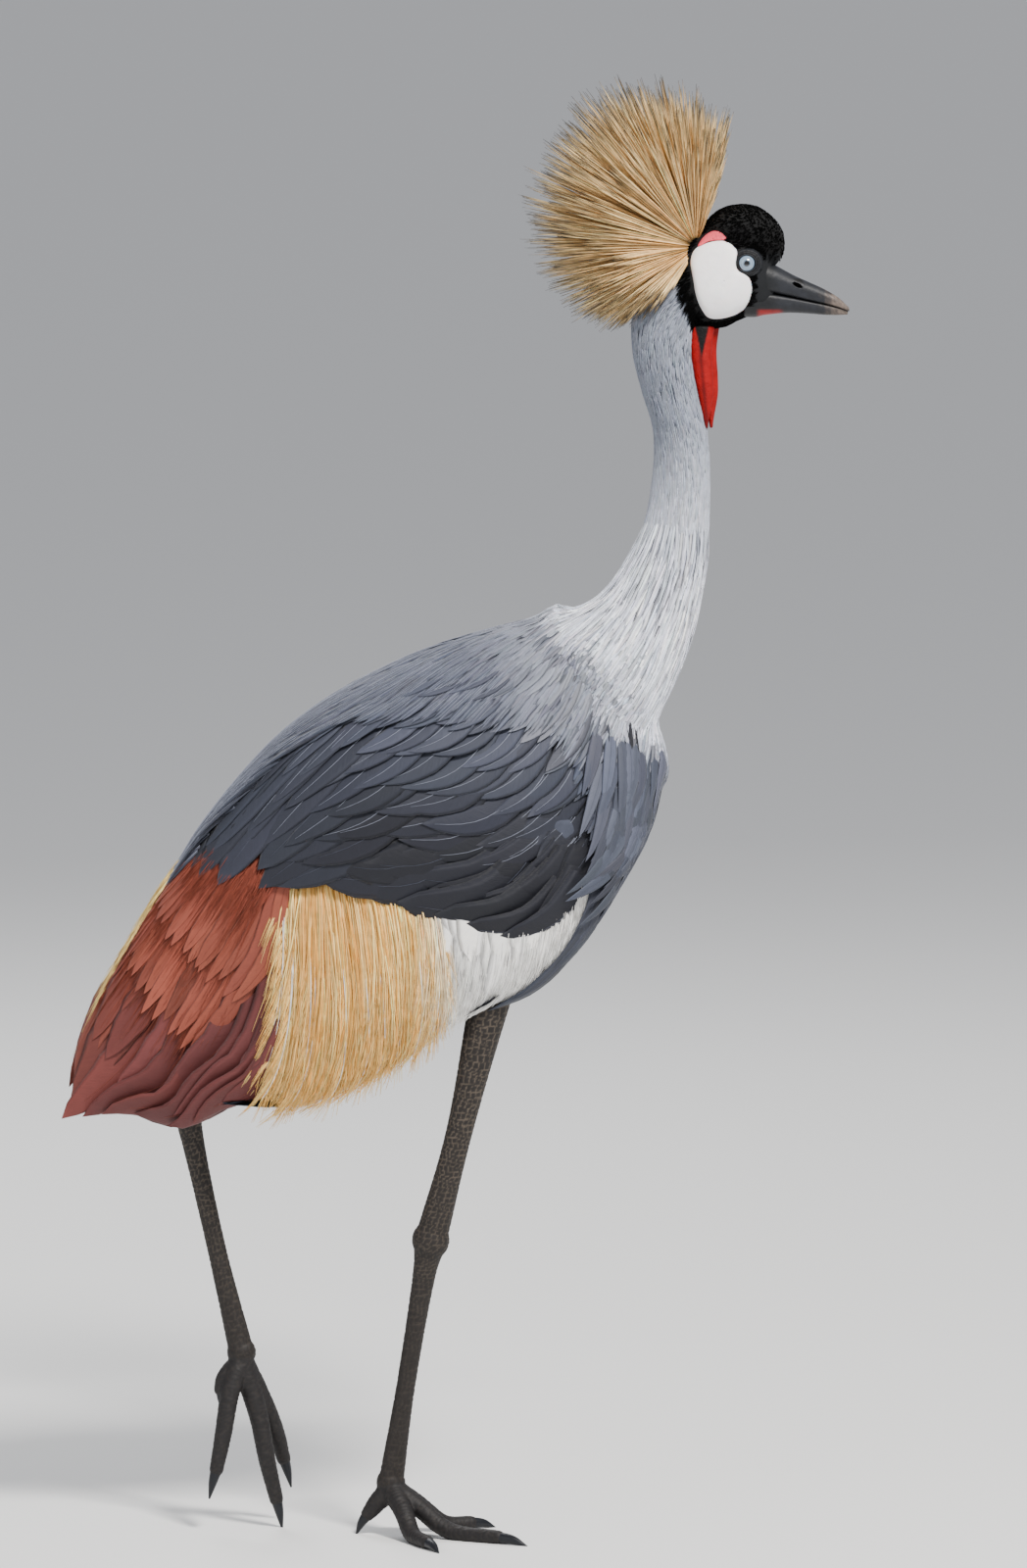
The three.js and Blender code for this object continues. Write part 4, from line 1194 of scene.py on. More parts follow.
def wing_paths(draw, side, roots, tips, stations, level, bend=0.0, lift_noise=0.4):
    """Paths over the folded wing from roots to tips, and the way out of it along them."""
    t = shares(stations)
    ahead = tips - roots
    aside = np.stack([-ahead[:, 1], ahead[:, 0]], -1)
    bulge = (bend * np.ones(len(roots)))[:, None] * np.sin(np.pi * t)
    place = mix(roots[:, None], tips[:, None], t[:, None]) + aside[:, None] * bulge[..., None]
    depth = spaced(level, stations) + draw.normal(0, lift_noise, (len(roots), 1)) * t
    angle = np.degrees(place[..., 1] / WING_ROUND)
    spine = on_wing(side, place[..., 0], angle, depth)
    return spine, unit(on_wing(side, place[..., 0], angle, depth + 1) - spine)


def vanes(flock, shaft_flock, draw, side, roots, tips, hue, *, width, vary, level, bend, shape, light=0.12,
          warm=0.03, stations=12, columns=7, ragged=0.06, shaft=None, thick=0.35, rim=0.3):
    """Broad feathers on the folded wing, with a shaft each if shaft gives its colour."""
    camber, roll = 0.1, 0.05 * side
    widths = width * (draw.uniform(1 - vary, 1 + vary, len(roots)) if vary else np.ones(len(roots)))
    hues = shades(draw, hue, len(roots), light, warm)
    spine, up = wing_paths(draw, side, roots, tips, stations, level, bend)
    t = shares(stations)
    half = outline(t, *shape) * widths[:, None] / 2
    half = np.stack([half * 0.9, half * 1.1], -1)
    half *= 1 - ragged * draw.random(half.shape) * fade(t, 0.3, 0.7)[:, None]
    flock.add(blades(spine, up, half, camber=camber, columns=columns, roll=roll, thick=thick),
              rimmed(hues, stations, columns, rim), blade_grain(spine, half, columns))
    if shaft is not None:
        end = int(stations * SHAFT_SHARE)
        raised = spine + up * (camber * half.mean(-1)[..., None] + 0.1)
        radius = np.linspace(0.38, 0.12, stations)[:end] * np.ones((len(roots), 1))
        shaft_flock.add(strands(raised[:, :end], radius), shaft)


def wisps(flock, draw, side, roots, tips, hue, *, level, radius, lift_noise, bend=0.0, stations=4, light=0.12,
          warm=0.03):
    """Loose barbs, as fine strands over the wing."""
    hues = shades(draw, hue, len(roots), light, warm)
    spine, _ = wing_paths(draw, side, roots, tips, stations, level, bend, lift_noise)
    t = shares(stations)
    sway = draw.normal(0, 1.0, (len(roots), 1, 3)) * t[:, None] ** 2
    size = radius * (1 - 0.8 * t ** 2) * draw.uniform(0.7, 1.2, (len(roots), 1))
    flock.add(strands(spine + sway, size), hues)


# The coverts' tips along the wing's edge, the line that their tiers climb to, and how steeply they point
# down.
# Of a pair of sizes, the first is for the lowest tier and the second for the highest.
COVERTS = {
    "edge": [
        [344, 4], [344, 28], [332, 54], [307, 76], [278, 85], [246, 92], [214, 103], [186, 115], [160, 125],
        [132, 132], [104, 134], [78, 130], [54, 118], [36, 98],
    ],
    "crown": [
        [190, 4], [184, 14], [176, 22], [164, 28], [150, 32], [136, 35], [120, 38], [104, 42], [90, 45],
        [76, 49], [64, 53], [52, 57], [42, 61], [32, 66],
    ],
    "slant": [4, 10, 17, 17, 12, 6, 3, 3, 6, 12, 20, 30, 42, 52],
    "steeper": [0, 0, 0, 2, 6, 12, 18, 22, 26, 26, 24, 20, 14, 10],
    "tiers": 8,
    "length": (128, 44),
    "width": (38, 14),
    "bend": (0.14, 0.07),
    "level": np.array([-10, -7.4, -6.4, -5.8]),
    "rise": 6.4,
    "apart": 0.58,
    "front": 30,
}
coverts_edge, coverts_crown = on_plane(COVERTS["edge"]), on_plane(COVERTS["crown"])
coverts_slant = spread(list(zip(COVERTS["slant"], COVERTS["steeper"])))


def covert_hues(at, share, run):
    """The coverts' greys: dusky at the lower edge, lighter on the upper tiers and by the hackles."""
    dusky = fade(at, 0.12, 0.36) * fade(share, 0.65, 0.15) * 0.9
    hues = tint(tint(PALETTE["slate"], "dusk", dusky), "mantle", smooth(share * 1.4 - 0.45) * 0.7)
    return tint(hues, "hackle", smooth(share * 3 - 1.8) * fade(run, 125, 65) * 0.3)


def coverts(name, side):
    """Tiers of grey coverts, from the large ones at the wing's edge up to the small ones by the back."""
    draw = default_rng(20 + side)
    feathers, shafts = Flock(f"coverts_{name}"), Flock(f"covert_shafts_{name}")
    for tier in range(COVERTS["tiers"]):
        share = tier / (COVERTS["tiers"] - 1)
        width, length = mix(*COVERTS["width"], share ** 0.8), mix(*COVERTS["length"], share)
        climb = share ** 1.15 * 0.92
        at = shares(60)
        line = mix(coverts_edge(at), coverts_crown(at), climb)
        count = int(length_of(line) / (width * COVERTS["apart"]))
        at = np.clip(shares(count) + draw.normal(0, 0.22 / count, count), 0, 1)
        tips = mix(coverts_edge(at), coverts_crown(at), climb) + draw.normal(0, 2.2, (count, 2))
        slant, steeper = coverts_slant(at).T
        slant = np.radians(slant + steeper * share + draw.normal(0, 2.5, count))
        ahead = np.stack([np.cos(slant), np.sin(slant)], -1)
        shorter = 1 - 0.45 * fade(at, 0.78, 1)[:, None]
        roots = tips - ahead * length * shorter * draw.uniform(0.9, 1.1, (count, 1))
        roots[:, 0] = np.maximum(roots[:, 0], COVERTS["front"])
        vanes(feathers, shafts, draw, side, roots, tips, covert_hues(at, share, tips[:, 0]), width=width,
              vary=0.12, light=0.16, warm=0.02, level=COVERTS["level"] + share * COVERTS["rise"],
              bend=0.02 + mix(*COVERTS["bend"], share) * fade(at, 0.12, 0.36),
              shape=(0.6, 0.5, 2.2, 0.7) if tier < 2 else (0.6, 0.45, 1.7, 0.8),
              shaft=PALETTE["shaft"] if tier > 1 else PALETTE["mantle"], rim=0.35)
    feathers.made("vane", "slate_feathers", f"wing_{name}")
    shafts.made("shaft", "slate_feathers")


for name, side in SIDES.items():
    coverts(name, side)


# The white coverts, gold plumes and chestnut secondaries below them

# Each fan has places along the wing for its roots and its tips. barb is how long its loose barbs are, and
# share how far between roots and tips they start.

WHITES = {
    "roots": [[44, 116], [62, 118], [86, 116], [110, 112], [140, 108], [160, 108]],
    "tips": [[80, 150], [104, 162], [136, 172], [168, 178], [196, 170], [192, 146]],
    "tiers": 3,
    "count": 13,
    "width": 27,
    "level": np.array([-11, -8.5, -7.6]),
    "rise": 0.7,
    "shift": 0.26,
    "barbs": 1300,
    "barb": (24, 44),
    "share": (0.1, 0.82),
}
BELLY_PLUMES = {
    "roots": [[30, 104], [30, 122], [38, 140], [58, 156], [86, 166]],
    "tips": [[70, 140], [92, 156], [112, 166], [140, 174], [172, 181]],
    "count": 30,
    "width": 13,
}
GOLD = {
    "roots": [[280, 82], [262, 85], [236, 90], [206, 98], [174, 108]],
    "tips": [[336, 128], [336, 160], [308, 178], [268, 180], [234, 170], [204, 162]],
    "wisps": 4100,
    "plumes": 12,
    "stations": 24,
    "barbs": 56,
    "barb": 34,
    "barb_stations": 5,
}
CHESTNUTS = {
    "roots": [[312, 10], [306, 34], [292, 54], [280, 68], [268, 78], [260, 84], [262, 92]],
    "tips": [[464, 6], [479, 60], [477, 116], [458, 142], [426, 160], [386, 160], [346, 146]],
    "barbs": 2100,
    "barb": (22, 52),
    "share": (0.0, 0.46),
    "ahead": 42,
}
# Each tier's count, share of the full length, depth, hue, width, and how much of the fan it takes up.
CHESTNUT_TIERS = [
    (10, 1.0, -13, "maroon", 42, 0.9),
    (8, 0.82, -10, "maroon", 34, 0.86),
    (14, 0.58, -8, "rust", 17, 0.52),
    (15, 0.4, -7, "rust", 14, 0.6),
]
FRINGE = {
    "roots": [[322, 2], [318, 7]],
    "tips": [[420, 3], [410, 9]],
    "barbs": 420,
    "barb": (30, 60),
    "share": (0.0, 0.9),
}
PRIMARIES = {"roots": [[300, 120], [312, 110]], "tips": [[372, 160], [398, 168]], "count": 4, "width": 22}


def barb_tips(draw, rows, roots, ahead):
    """Where loose barbs end, each by its own length."""
    return roots + ahead * draw.uniform(*rows["barb"], (len(roots), 1))


def white_coverts(name, side, draw):
    """Tiers of white feathers, each shorter than the one under it, with loose barbs over them."""
    whites, barbs = Flock(f"white_coverts_{name}"), Flock(f"white_barbs_{name}")
    for tier in range(WHITES["tiers"]):
        roots, tips = fan(WHITES, shares(WHITES["count"]))
        back = (tips - roots) * WHITES["shift"] * tier
        tips = tips - back + draw.normal(0, 1.5, tips.shape)
        vanes(whites, None, draw, side, roots - back * 0.6, tips, PALETTE["white"], width=WHITES["width"],
              vary=0.1, light=0.03, warm=0.01, level=WHITES["level"] + tier * WHITES["rise"], bend=-0.04,
              shape=(0.7, 0.5, 2.2, 0.6), rim=0.0)
    roots, ahead = between(draw, WHITES, draw.random(WHITES["barbs"]), WHITES["share"])
    wisps(barbs, draw, side, roots, barb_tips(draw, WHITES, roots, ahead), PALETTE["white"], light=0.04,
          warm=0.01, level=[-7.5, -5.6, -5.4], bend=-0.04, lift_noise=0.4, radius=0.45)
    whites.made("soft_vane", "white_feathers", f"white_coverts_{name}")
    barbs.made("down", "white_feathers")


def belly_plumes(name, side, draw):
    """Narrow grey feathers under the white coverts."""
    plumes = Flock(f"belly_plumes_{name}")
    roots, tips = fan(BELLY_PLUMES, shares(BELLY_PLUMES["count"]))
    tips = mix(roots, tips, draw.uniform(0.85, 1.15, (len(roots), 1))) + draw.normal(0, 2.5, roots.shape)
    vanes(plumes, plumes, draw, side, roots, tips, PALETTE["breast"] * 0.7, width=BELLY_PLUMES["width"],
          vary=0.2, level=[-4, -3, -2.2, -2.6], bend=0.05, shape=(0.5, 0.45, 1.5, 0.8), rim=0.5,
          shaft=PALETTE["mantle"])
    plumes.made("vane", "slate_feathers")


def gold_barbs(flock, draw, spine, up):
    """Curved barbs along both edges of each plume's shaft."""
    last = GOLD["stations"] - 1
    stand = np.linspace(0.04, 0.98, GOLD["barbs"])
    where = np.clip(np.round(stand * last).astype(int), 0, last - 1)
    past = (stand * last - where).clip(0, 1)[:, None]
    base = mix(spine[:, where], spine[:, where + 1], past)[:, :, None]
    ahead, over = unit(np.gradient(spine, axis=1))[:, where], up[:, where]
    t = shares(GOLD["barb_stations"])
    curl = (ahead * 0.35 - over * 0.06)[:, :, None] * t[:, None] ** 2
    each = (len(spine), GOLD["barbs"], 1)
    for edge in (-1, 1):
        aim = unit(ahead + np.cross(ahead, over) * edge * draw.uniform(0.28, 0.5, each))
        length = GOLD["barb"] * draw.uniform(0.7, 1.1, each) * (1 - 0.45 * stand[:, None])
        path = base + (aim[:, :, None] * t[:, None] + curl) * length[:, :, None]
        path = path.reshape(-1, len(t), 3)
        radius = 0.4 * (1 - 0.75 * t) * np.ones((len(path), 1))
        hues = mix(PALETTE["gold"], PALETTE["pale_gold"], draw.random((len(path), 1)))
        flock.add(strands(path, radius), shades(draw, hues, len(path)))


def golden_plumes(name, side, draw):
    """A loose mass of gold barbs, with barbed plumes over it."""
    loose, plumes = Flock(f"gold_wisps_{name}"), Flock(f"gold_plumes_{name}")
    count = GOLD["wisps"]
    at = 0.04 + 0.86 * draw.random(count) ** 0.62 + 0.13 * draw.random(count) ** 2
    at = np.clip(at, 0, 1)
    roots, _ = between(draw, GOLD, at, (-0.05, 0.5))
    _, ends = fan(GOLD, np.clip(at + draw.normal(0, 0.02, count), 0, 1))
    tips = mix(roots, ends, draw.uniform(0.55, 1.06, (count, 1))) + draw.normal(0, 5, roots.shape)
    pale = np.clip(draw.random(count) ** 1.3 + fade(at, 0.75, 1) * 0.5, 0, 1)
    pale = np.clip(pale + fade(at, 0.3, 0) * 0.5, 0, 1)
    golds = tint(tint(PALETTE["gold"], "pale_gold", pale), "white", fade(at, 0.8, 1) * 0.5)
    wisps(loose, draw, side, roots, tips, golds, level=[-11, -6.4, -4.0, -2.8], stations=5, radius=0.66,
          bend=0.05, lift_noise=1.8)
    count, stations = GOLD["plumes"], GOLD["stations"]
    at = np.clip(shares(count) ** 1.4 * 0.94 + draw.normal(0, 0.02, count), 0, 1)
    roots, tips = fan(GOLD, at)
    tips = tips + draw.normal(0, 4, tips.shape)
    level = [-17, -5.5, -2.0, -1.4]
    spine, up = wing_paths(draw, side, roots, tips, stations, level, bend=0.05, lift_noise=0.5)
    shaft_radius = np.linspace(0.7, 0.15, stations) * draw.uniform(0.5, 1.0, (count, 1))
    plumes.add(strands(spine + up * 1.2, shaft_radius, sides=5), PALETTE["white"] * 0.9)
    gold_barbs(plumes, draw, spine, up)
    loose.made("down", "golden_feathers", f"golden_plumes_{name}")
    plumes.made("down", "golden_feathers")


def secondaries(name, side, draw):
    """The long chestnut feathers in tiers, with dark primaries under them and loose barbs over them."""
    chestnuts, shafts = Flock(f"secondaries_{name}"), Flock(f"secondary_shafts_{name}")
    rusty, fringe = Flock(f"rusty_barbs_{name}"), Flock(f"gold_fringe_{name}")
    for count, short, depth, hue, width, share in CHESTNUT_TIERS:
        at = np.clip(shares(count) + draw.normal(0, 0.012, count), 0, 1) * share
        roots, tips = fan(CHESTNUTS, at)
        tips = mix(roots, tips, short * draw.uniform(0.95, 1.03, (count, 1)))
        hues = tint(PALETTE[hue], "rust", smooth(0.9 - at * 2.2) * 0.7)
        vanes(chestnuts, shafts, draw, side, roots, tips, hues, width=width, vary=0.1,
              level=[depth - 4, depth, depth * 0.4], bend=0.02 + 0.14 * smooth(at * 1.6), stations=22,
              columns=9, shape=(0.6, 0.55, 2.2, 0.75), ragged=0.14, shaft=PALETTE["rust"], thick=0.5,
              rim=0.18)
    roots, tips = fan(PRIMARIES, shares(PRIMARIES["count"]))
    vanes(chestnuts, shafts, draw, side, roots, tips, PALETTE["dusk"], width=PRIMARIES["width"], vary=0,
          level=[-22, -19, -18], bend=-0.1, shape=(0.6, 0.6, 2.2, 0.8))
    at = draw.random(CHESTNUTS["barbs"]) ** 1.3 * 0.56
    roots, ahead = between(draw, CHESTNUTS, at, CHESTNUTS["share"])
    roots = roots + ahead * CHESTNUTS["ahead"] * (fade(at, 0.2, 0) * draw.random(len(at)))[:, None]
    tips = barb_tips(draw, CHESTNUTS, roots, ahead) + draw.normal(0, 3, roots.shape)
    wisps(rusty, draw, side, roots, tips, PALETTE["rust"], light=0.14, level=[-9.0, -5.4, -5.0], bend=0.06,
          radius=0.36, lift_noise=0.8)
    roots, ahead = between(draw, FRINGE, draw.random(FRINGE["barbs"]), FRINGE["share"])
    tips = barb_tips(draw, FRINGE, roots, ahead) + draw.normal(0, 2, roots.shape)
    wisps(fringe, draw, side, roots, tips, PALETTE["pale_gold"], level=[-9, -3.4, -3.0], radius=0.45,
          lift_noise=1.0)
    fringe.made("down", "golden_feathers")
    chestnuts.made("vane", "chestnut_feathers", f"secondaries_{name}")
    shafts.made("shaft", "chestnut_feathers")
    rusty.made("down", "chestnut_feathers")


for name, side in SIDES.items():
    wing_draw = default_rng(40 + side)
    white_coverts(name, side, wing_draw)
    belly_plumes(name, side, wing_draw)
    golden_plumes(name, side, wing_draw)
    secondaries(name, side, wing_draw)


# The tail

# run and height are where it starts and ends along the body and over it.
TAIL = {"count": 9, "length": 150, "run": (340, 450), "height": (4, -112), "width": 17, "spread": 6.5,
        "stations": 16, "columns": 9}


def on_tail(along, across, depth):
    """Points from their distance along the tail, their way across and their height over it."""
    t = np.maximum(0, along / TAIL["length"])
    run = mix(*TAIL["run"], t) + 0.6 * depth
    height = mix(*TAIL["height"], t ** 1.3) + 0.8 * depth
    return on_body(run, height, across)


def tail():
    """A short fan of dark feathers, hidden under the secondaries."""
    t = shares(TAIL["stations"])
    aside = np.linspace(-1, 1, TAIL["count"])[:, None]
    along = t * TAIL["length"] * (1 - 0.08 * aside ** 2)
    across = aside * TAIL["spread"] * mix(0.6, 1.0, t)
    depth = -3.0 * np.abs(aside)
    spine = on_tail(along, across, depth)
    up = unit(on_tail(along, across, depth + 1) - spine)
    half = outline(t, 0.6, 0.6, 2.4, 0.6)[None, :, None] * TAIL["width"] / 2 * np.ones((TAIL["count"], 1, 2))
    hues = shades(default_rng(60), PALETTE["dusk"], TAIL["count"])
    grain = blade_grain(spine, half, TAIL["columns"])
    feathers = Flock("tail_feathers")
    feathers.add(blades(spine, up, half, columns=TAIL["columns"]), hues, grain)
    feathers.made("vane", "black_feathers", "tail")


tail()


# The crest

# Where along a bristle its points stand, and its radius at places along it.
BRISTLE_POINTS = [0, 0.15, 0.45, 0.72, 0.87, 1]
BRISTLE_RADII = ([0, 0.15, 0.8, 1], [0.45, 0.55, 0.5, 0.12])


def bristle_way(turn, lean):
    """The way of a bristle: its turn up from the way the bird faces, and its lean to a side, in radians."""
    return np.stack([np.cos(turn) * np.cos(lean), np.sin(lean), np.sin(turn) * np.cos(lean)], -1)


def crest():
    """Stiff bristles in a round fan, gathered in locks, each darkening to a black tip."""
    draw, count, locks = default_rng(70), CREST["count"], CREST["locks"]
    lowest, highest = CREST_REACH[0][0], CREST_REACH[-1][0]
    widest = math.sin(math.radians(CREST["spread"]))
    lean = np.arcsin(draw.uniform(-1, 1, count) * widest)
    angle = draw.uniform(lowest, highest, count)
    lock_angle = draw.uniform(lowest + 2, highest - 2, locks)
    lock_lean = np.arcsin(draw.uniform(-1, 1, locks) * widest)
    lock_reach = 1 - 0.12 * draw.random(locks) ** 1.5
    apart = (angle[:, None] - lock_angle) ** 2 + np.degrees(lean[:, None] - lock_lean) ** 2
    lock = apart.argmin(1)
    reach = through(CREST_REACH)(angle)[:, 0] * (1 - 0.2 * (np.degrees(lean) / CREST["spread"]) ** 2)
    reach *= (1 - 0.2 * draw.random(count) ** 2) * lock_reach[lock]
    turn = np.radians(angle)
    lock_turn = np.radians(lock_angle[lock])
    ahead = bristle_way(turn, lean)[:, None]
    gathered = bristle_way(mix(turn, lock_turn, CREST["gather"]), mix(lean, lock_lean[lock], CREST["gather"]))
    centre = np.array([CREST["x"], 0.0, CREST["z"]])
    start = centre + ahead * np.array(CREST["patch"]) * draw.uniform(0.3, 1.0, (count, 1, 1))
    t = np.array(BRISTLE_POINTS)[:, None]
    wave = draw.normal(0, 0.8, (count, 1, 3)) * t ** 2
    sag = np.array([0.0, 0.0, -1.0]) * t ** 2 * draw.uniform(0, 3, (count, 1, 1))
    spine = start + mix(ahead, gathered[:, None], t ** 1.5) * reach[:, None, None] * t + wave + sag
    radius = np.interp(t[:, 0], *BRISTLE_RADII) * draw.uniform(0.75, 1.25, (count, 1))
    pale = draw.random((count, 1)) ** 1.4 * 0.75
    root_hue = shades(draw, mix(PALETTE["straw"] * 0.65, PALETTE["pale_straw"], pale), count, light=0.3)
    tip_hue = mix(root_hue, PALETTE["pale_straw"], 0.55)
    hues = mix(root_hue[:, None], tip_hue[:, None], smooth(t * 1.1))
    dark_from = draw.uniform(0.78, 0.92, (count, 1, 1))
    hues = mix(hues, PALETTE["black"], smooth((t - dark_from) / 0.1))
    bristles = Flock("crest_bristles")
    bristles.add(strands(spine, radius), hues[:, :, None])
    bristles.made("bristle", "crest_bristles", "crest")


crest()


# The face: bare cheeks, eyes, lids, bill and wattle

# How far the backs of the cheeks' and lids' soft skin lie under their fronts.
SKIN_THICK = 2.5


def face_depth(x, z):
    """How far out the head's skin lies at places in side view."""
    depths = []
    for place in zip(x, z):
        hit = skin_surface.tree.ray_cast(Vector((place[0], 80, place[1])), Vector((0, -1, 0)))[0]
        depths.append(hit[1] if hit else 4.0)
    return np.array(depths)


def closed_curve(points, count):
    """Points on a smooth closed curve through an outline."""
    points = np.array(points, float)
    looped = spread(np.concatenate([points[-3:], points, points[:3]]))
    first, last = 3 / (len(points) + 5), (len(points) + 3) / (len(points) + 5)
    return looped(np.linspace(first, last, count, endpoint=False))


LOBE = {"middle": (238, 890), "size": (15, 11), "rise": 1.3}


def lower_lobe(ring):
    """The cheek's swelling towards the wattle."""
    return LOBE["rise"] * np.exp(-(((ring - LOBE["middle"]) / LOBE["size"]) ** 2).sum(-1))


def pad(name, rows, side, puff, edge, rings=18, around=120, swell=None):
    """A soft patch over the head inside an outline, with its edge turned into the skin."""
    rim = closed_curve(rows, around)
    middle = rim.mean(0)
    points = []
    for share in np.linspace(1, 0, rings):
        ring = mix(middle, rim, share)
        from_edge = np.clip(np.linalg.norm(rim - ring, axis=-1) / edge, 0, 1)
        rise = puff * np.sqrt(np.clip(1 - (1 - from_edge) ** 2, 0, 1)) - 1.2 * (share == 1)
        if swell is not None:
            rise = rise + swell(ring)
        points.append(np.stack([ring[:, 0], side * (face_depth(*ring.T) + rise), ring[:, 1]], -1))
    grid = np.concatenate([np.array(points[::-1]) - np.array([0, side * SKIN_THICK, 0]), points])
    faces = quads(len(grid), around)
    made = mesh_object(name, grid.reshape(-1, 3), faces if side < 0 else flipped(faces))
    applied(made, "SMOOTH", iterations=3)
    return made


def cheek(name, side):
    """The white cheek, with painted shade towards its bottom, and the red patch over it."""
    white = pad(f"cheek_{name}_skin", CHEEK, side, puff=2.4, edge=5.5, swell=lower_lobe)
    # Painted shade: the white turns greyer towards the cheek's bottom edge.
    cheek_shade = fade(points_of(white)[:, 2], 880, 868)[:, None] * 0.6
    coloured(white, mix(PALETTE["cheek"], PALETTE["cheek_shade"], cheek_shade))
    piece(white, "cheek", "cheek_white", f"cheek_{name}")
    red = pad(f"red_patch_{name}", CHEEK_RED, side, puff=1.4, edge=4, rings=10, around=60)
    coloured(red, PALETTE["pink"])
    piece(red, "wattle", "red_skin", f"cheek_red_{name}")


# The colours of pupil, iris and rim at distances from the eye's middle
IRIS = [
    [0, "#030304"], [1.8, "#030304"], [2.1, "#4d6072"], [3.4, "#8094a8"], [4.1, "#64788c"],
    [4.5, "#7d91a6"], [5.3, "#5c6f82"], [5.7, "#14181d"], [9, "#060708"],
]
# The height of the lids' ring at distances from the eye's middle, and the level under which its folds are
# painted black as shade
LID = [
    [5.7, 4.6], [5.95, 5.9], [6.5, 6.4], [7.1, 5.9], [7.5, 5.55], [8.1, 5.9],
    [8.7, 5.3], [9.1, 4.95], [9.8, 5.0], [10.6, 4.0], [11.6, 1.5],
]
LID_FOLD_SHADE_LEVEL = ([5.7, 7.5, 9.1, 11.6], [5.8, 5.8, 5.1, 1.4])
iris_at = through([[radius, *paint(code)] for radius, code in IRIS])


def eyeball(name, side):
    """A ball with a raised cornea, in the iris's colours."""
    tilt = np.concatenate([np.linspace(0.01, 1.1, 70), np.linspace(1.15, 3.1, 26)])[:, None]
    turn = turns(64)[None]
    reach = EYE["radius"] + EYE["cornea"] * np.exp(-(tilt / EYE["cornea_angle"]) ** 2)
    forward = side * np.cos(tilt) * reach * np.ones_like(turn)
    x, z = np.sin(tilt) * np.cos(turn) * EYE["radius"], np.sin(tilt) * np.sin(turn) * EYE["radius"]
    ball = np.stack([x, forward, z], -1) + np.array([EYE["x"], side * EYE["y"], EYE["z"]])
    points, faces = tube(ball[::-1] if side > 0 else ball)
    made = mesh_object(f"eyeball_{name}", points, faces)
    from_middle = np.hypot(np.array(points)[:, 0] - EYE["x"], np.array(points)[:, 2] - EYE["z"])
    coloured(made, np.clip(iris_at(np.clip(from_middle, 0, IRIS[-1][0])), 0, 1))
    piece(made, "eye", "eye", f"eye_{name}")


def lids(name, side):
    """A creased ring of lids round the eye, with painted shade in its folds."""
    section = through([[i, *row] for i, row in enumerate(LID)])(np.linspace(0, len(LID) - 1, 44))
    turn = turns(96)
    almond = (1 + 0.03 * np.cos(2 * turn)) * (1 + 0.012 * np.sin(turn * 17 + 1) + 0.01 * np.sin(turn * 29))
    radius, rise = section[:, 0, None], section[:, 1, None]
    forward = side * (EYE["y"] + rise) * np.ones_like(turn)
    x, z = radius * almond * np.cos(turn) + EYE["x"], radius * almond * np.sin(turn) * 0.97 + EYE["z"]
    rings = np.stack([x, forward, z], -1)
    loop = np.concatenate([rings, rings[::-1] - np.array([0, side * SKIN_THICK, 0])])
    faces = quads(len(loop), len(turn), closed=True)
    made = mesh_object(f"lids_{name}", loop.reshape(-1, 3), faces if side > 0 else flipped(faces))
    radius, rise = np.concatenate([section, section[::-1]]).repeat(len(turn), axis=0).T
    # Painted shade: black where the ring dips under the level of its folds.
    clear_of_fold_shade = fade(rise - np.interp(radius, *LID_FOLD_SHADE_LEVEL), -0.25, 0.35)[:, None]
    coloured(made, mix(PALETTE["black"], PALETTE["lid"], clear_of_fold_shade))
    piece(made, "lid", "black_feathers")


for name, side in SIDES.items():
    cheek(name, side)
for name, side in SIDES.items():
    eyeball(name, side)
    lids(name, side)

# The bill. Its width and the line of its mouth are read from the upper half's sections.
BILL_REACH = (256, 326)
BILL_FLAT = {"upper": 1, "lower": -1}
bill_width = through([[row[0], row[4]] for row in BILL_UPPER])
mouth_line = through([[row[2], row[3]] for row in BILL_UPPER])


def nostrils(upper):
    """Cuts a slit into each side of the upper half."""
    tilt = math.radians(NOSTRIL["tilt"])
    half = (NOSTRIL["length"] / 2, NOSTRIL["depth"], NOSTRIL["height"] / 2)
    for side in SIDES.values():
        pit = ball_rings((0, side * (NOSTRIL["septum"] + NOSTRIL["depth"]), 0), half)
        x, y, z = np.moveaxis(pit, -1, 0)
        turned_x = x * math.cos(tilt) - z * math.sin(tilt) + NOSTRIL["x"]
        turned_z = x * math.sin(tilt) + z * math.cos(tilt) + NOSTRIL["z"]
        points, faces = tube(np.stack([turned_x, y, turned_z], -1))
        cutter = mesh_object("nostril", points, flipped(faces))
        applied(upper, "BOOLEAN", operation="DIFFERENCE", object=cutter, solver="EXACT")
        bpy.data.objects.remove(cutter)


def horn(made):
    """Colours the bill: dark, worn pale towards its tip, with a red throat and a black mouth line."""
    points = points_of(made)
    x, y, z = points.T
    reach = np.clip(x, *BILL_REACH)
    ripple = 2.5 * np.sin(z * 0.9 + y * 0.7) + 1.5 * np.sin(x * 1.3)
    worn = fade(x + ripple, 306, 320)
    scuffed = 0.5 + 0.5 * np.sin(x * 2.3 + 3 * np.sin(z * 1.7)) * np.sin(z * 2.9)
    hue = tint(PALETTE["bare"], "bill", fade(x, 268, 280))
    hue = tint(hue, "horn", worn * mix(0.35, 1.0, scuffed))
    hue = tint(hue, "scarlet", fade(x, 281, 276) * fade(z, 882.5, 880.5) * fade(x, 260, 264))
    hue = tint(hue, "black", np.exp(-((z - mouth_line(reach)[..., 0]) / 0.9) ** 2))
    # Painted shade: black inside the nostril pits, where shade falls.
    nostril_shade = np.hypot(x - NOSTRIL["x"], z - NOSTRIL["z"]) < NOSTRIL["length"] * 0.55
    nostril_shade &= np.abs(y) < bill_width(reach)[..., 0] * 0.93 - 0.7
    coloured(made, np.where(nostril_shade[:, None], PALETTE["black"], hue))


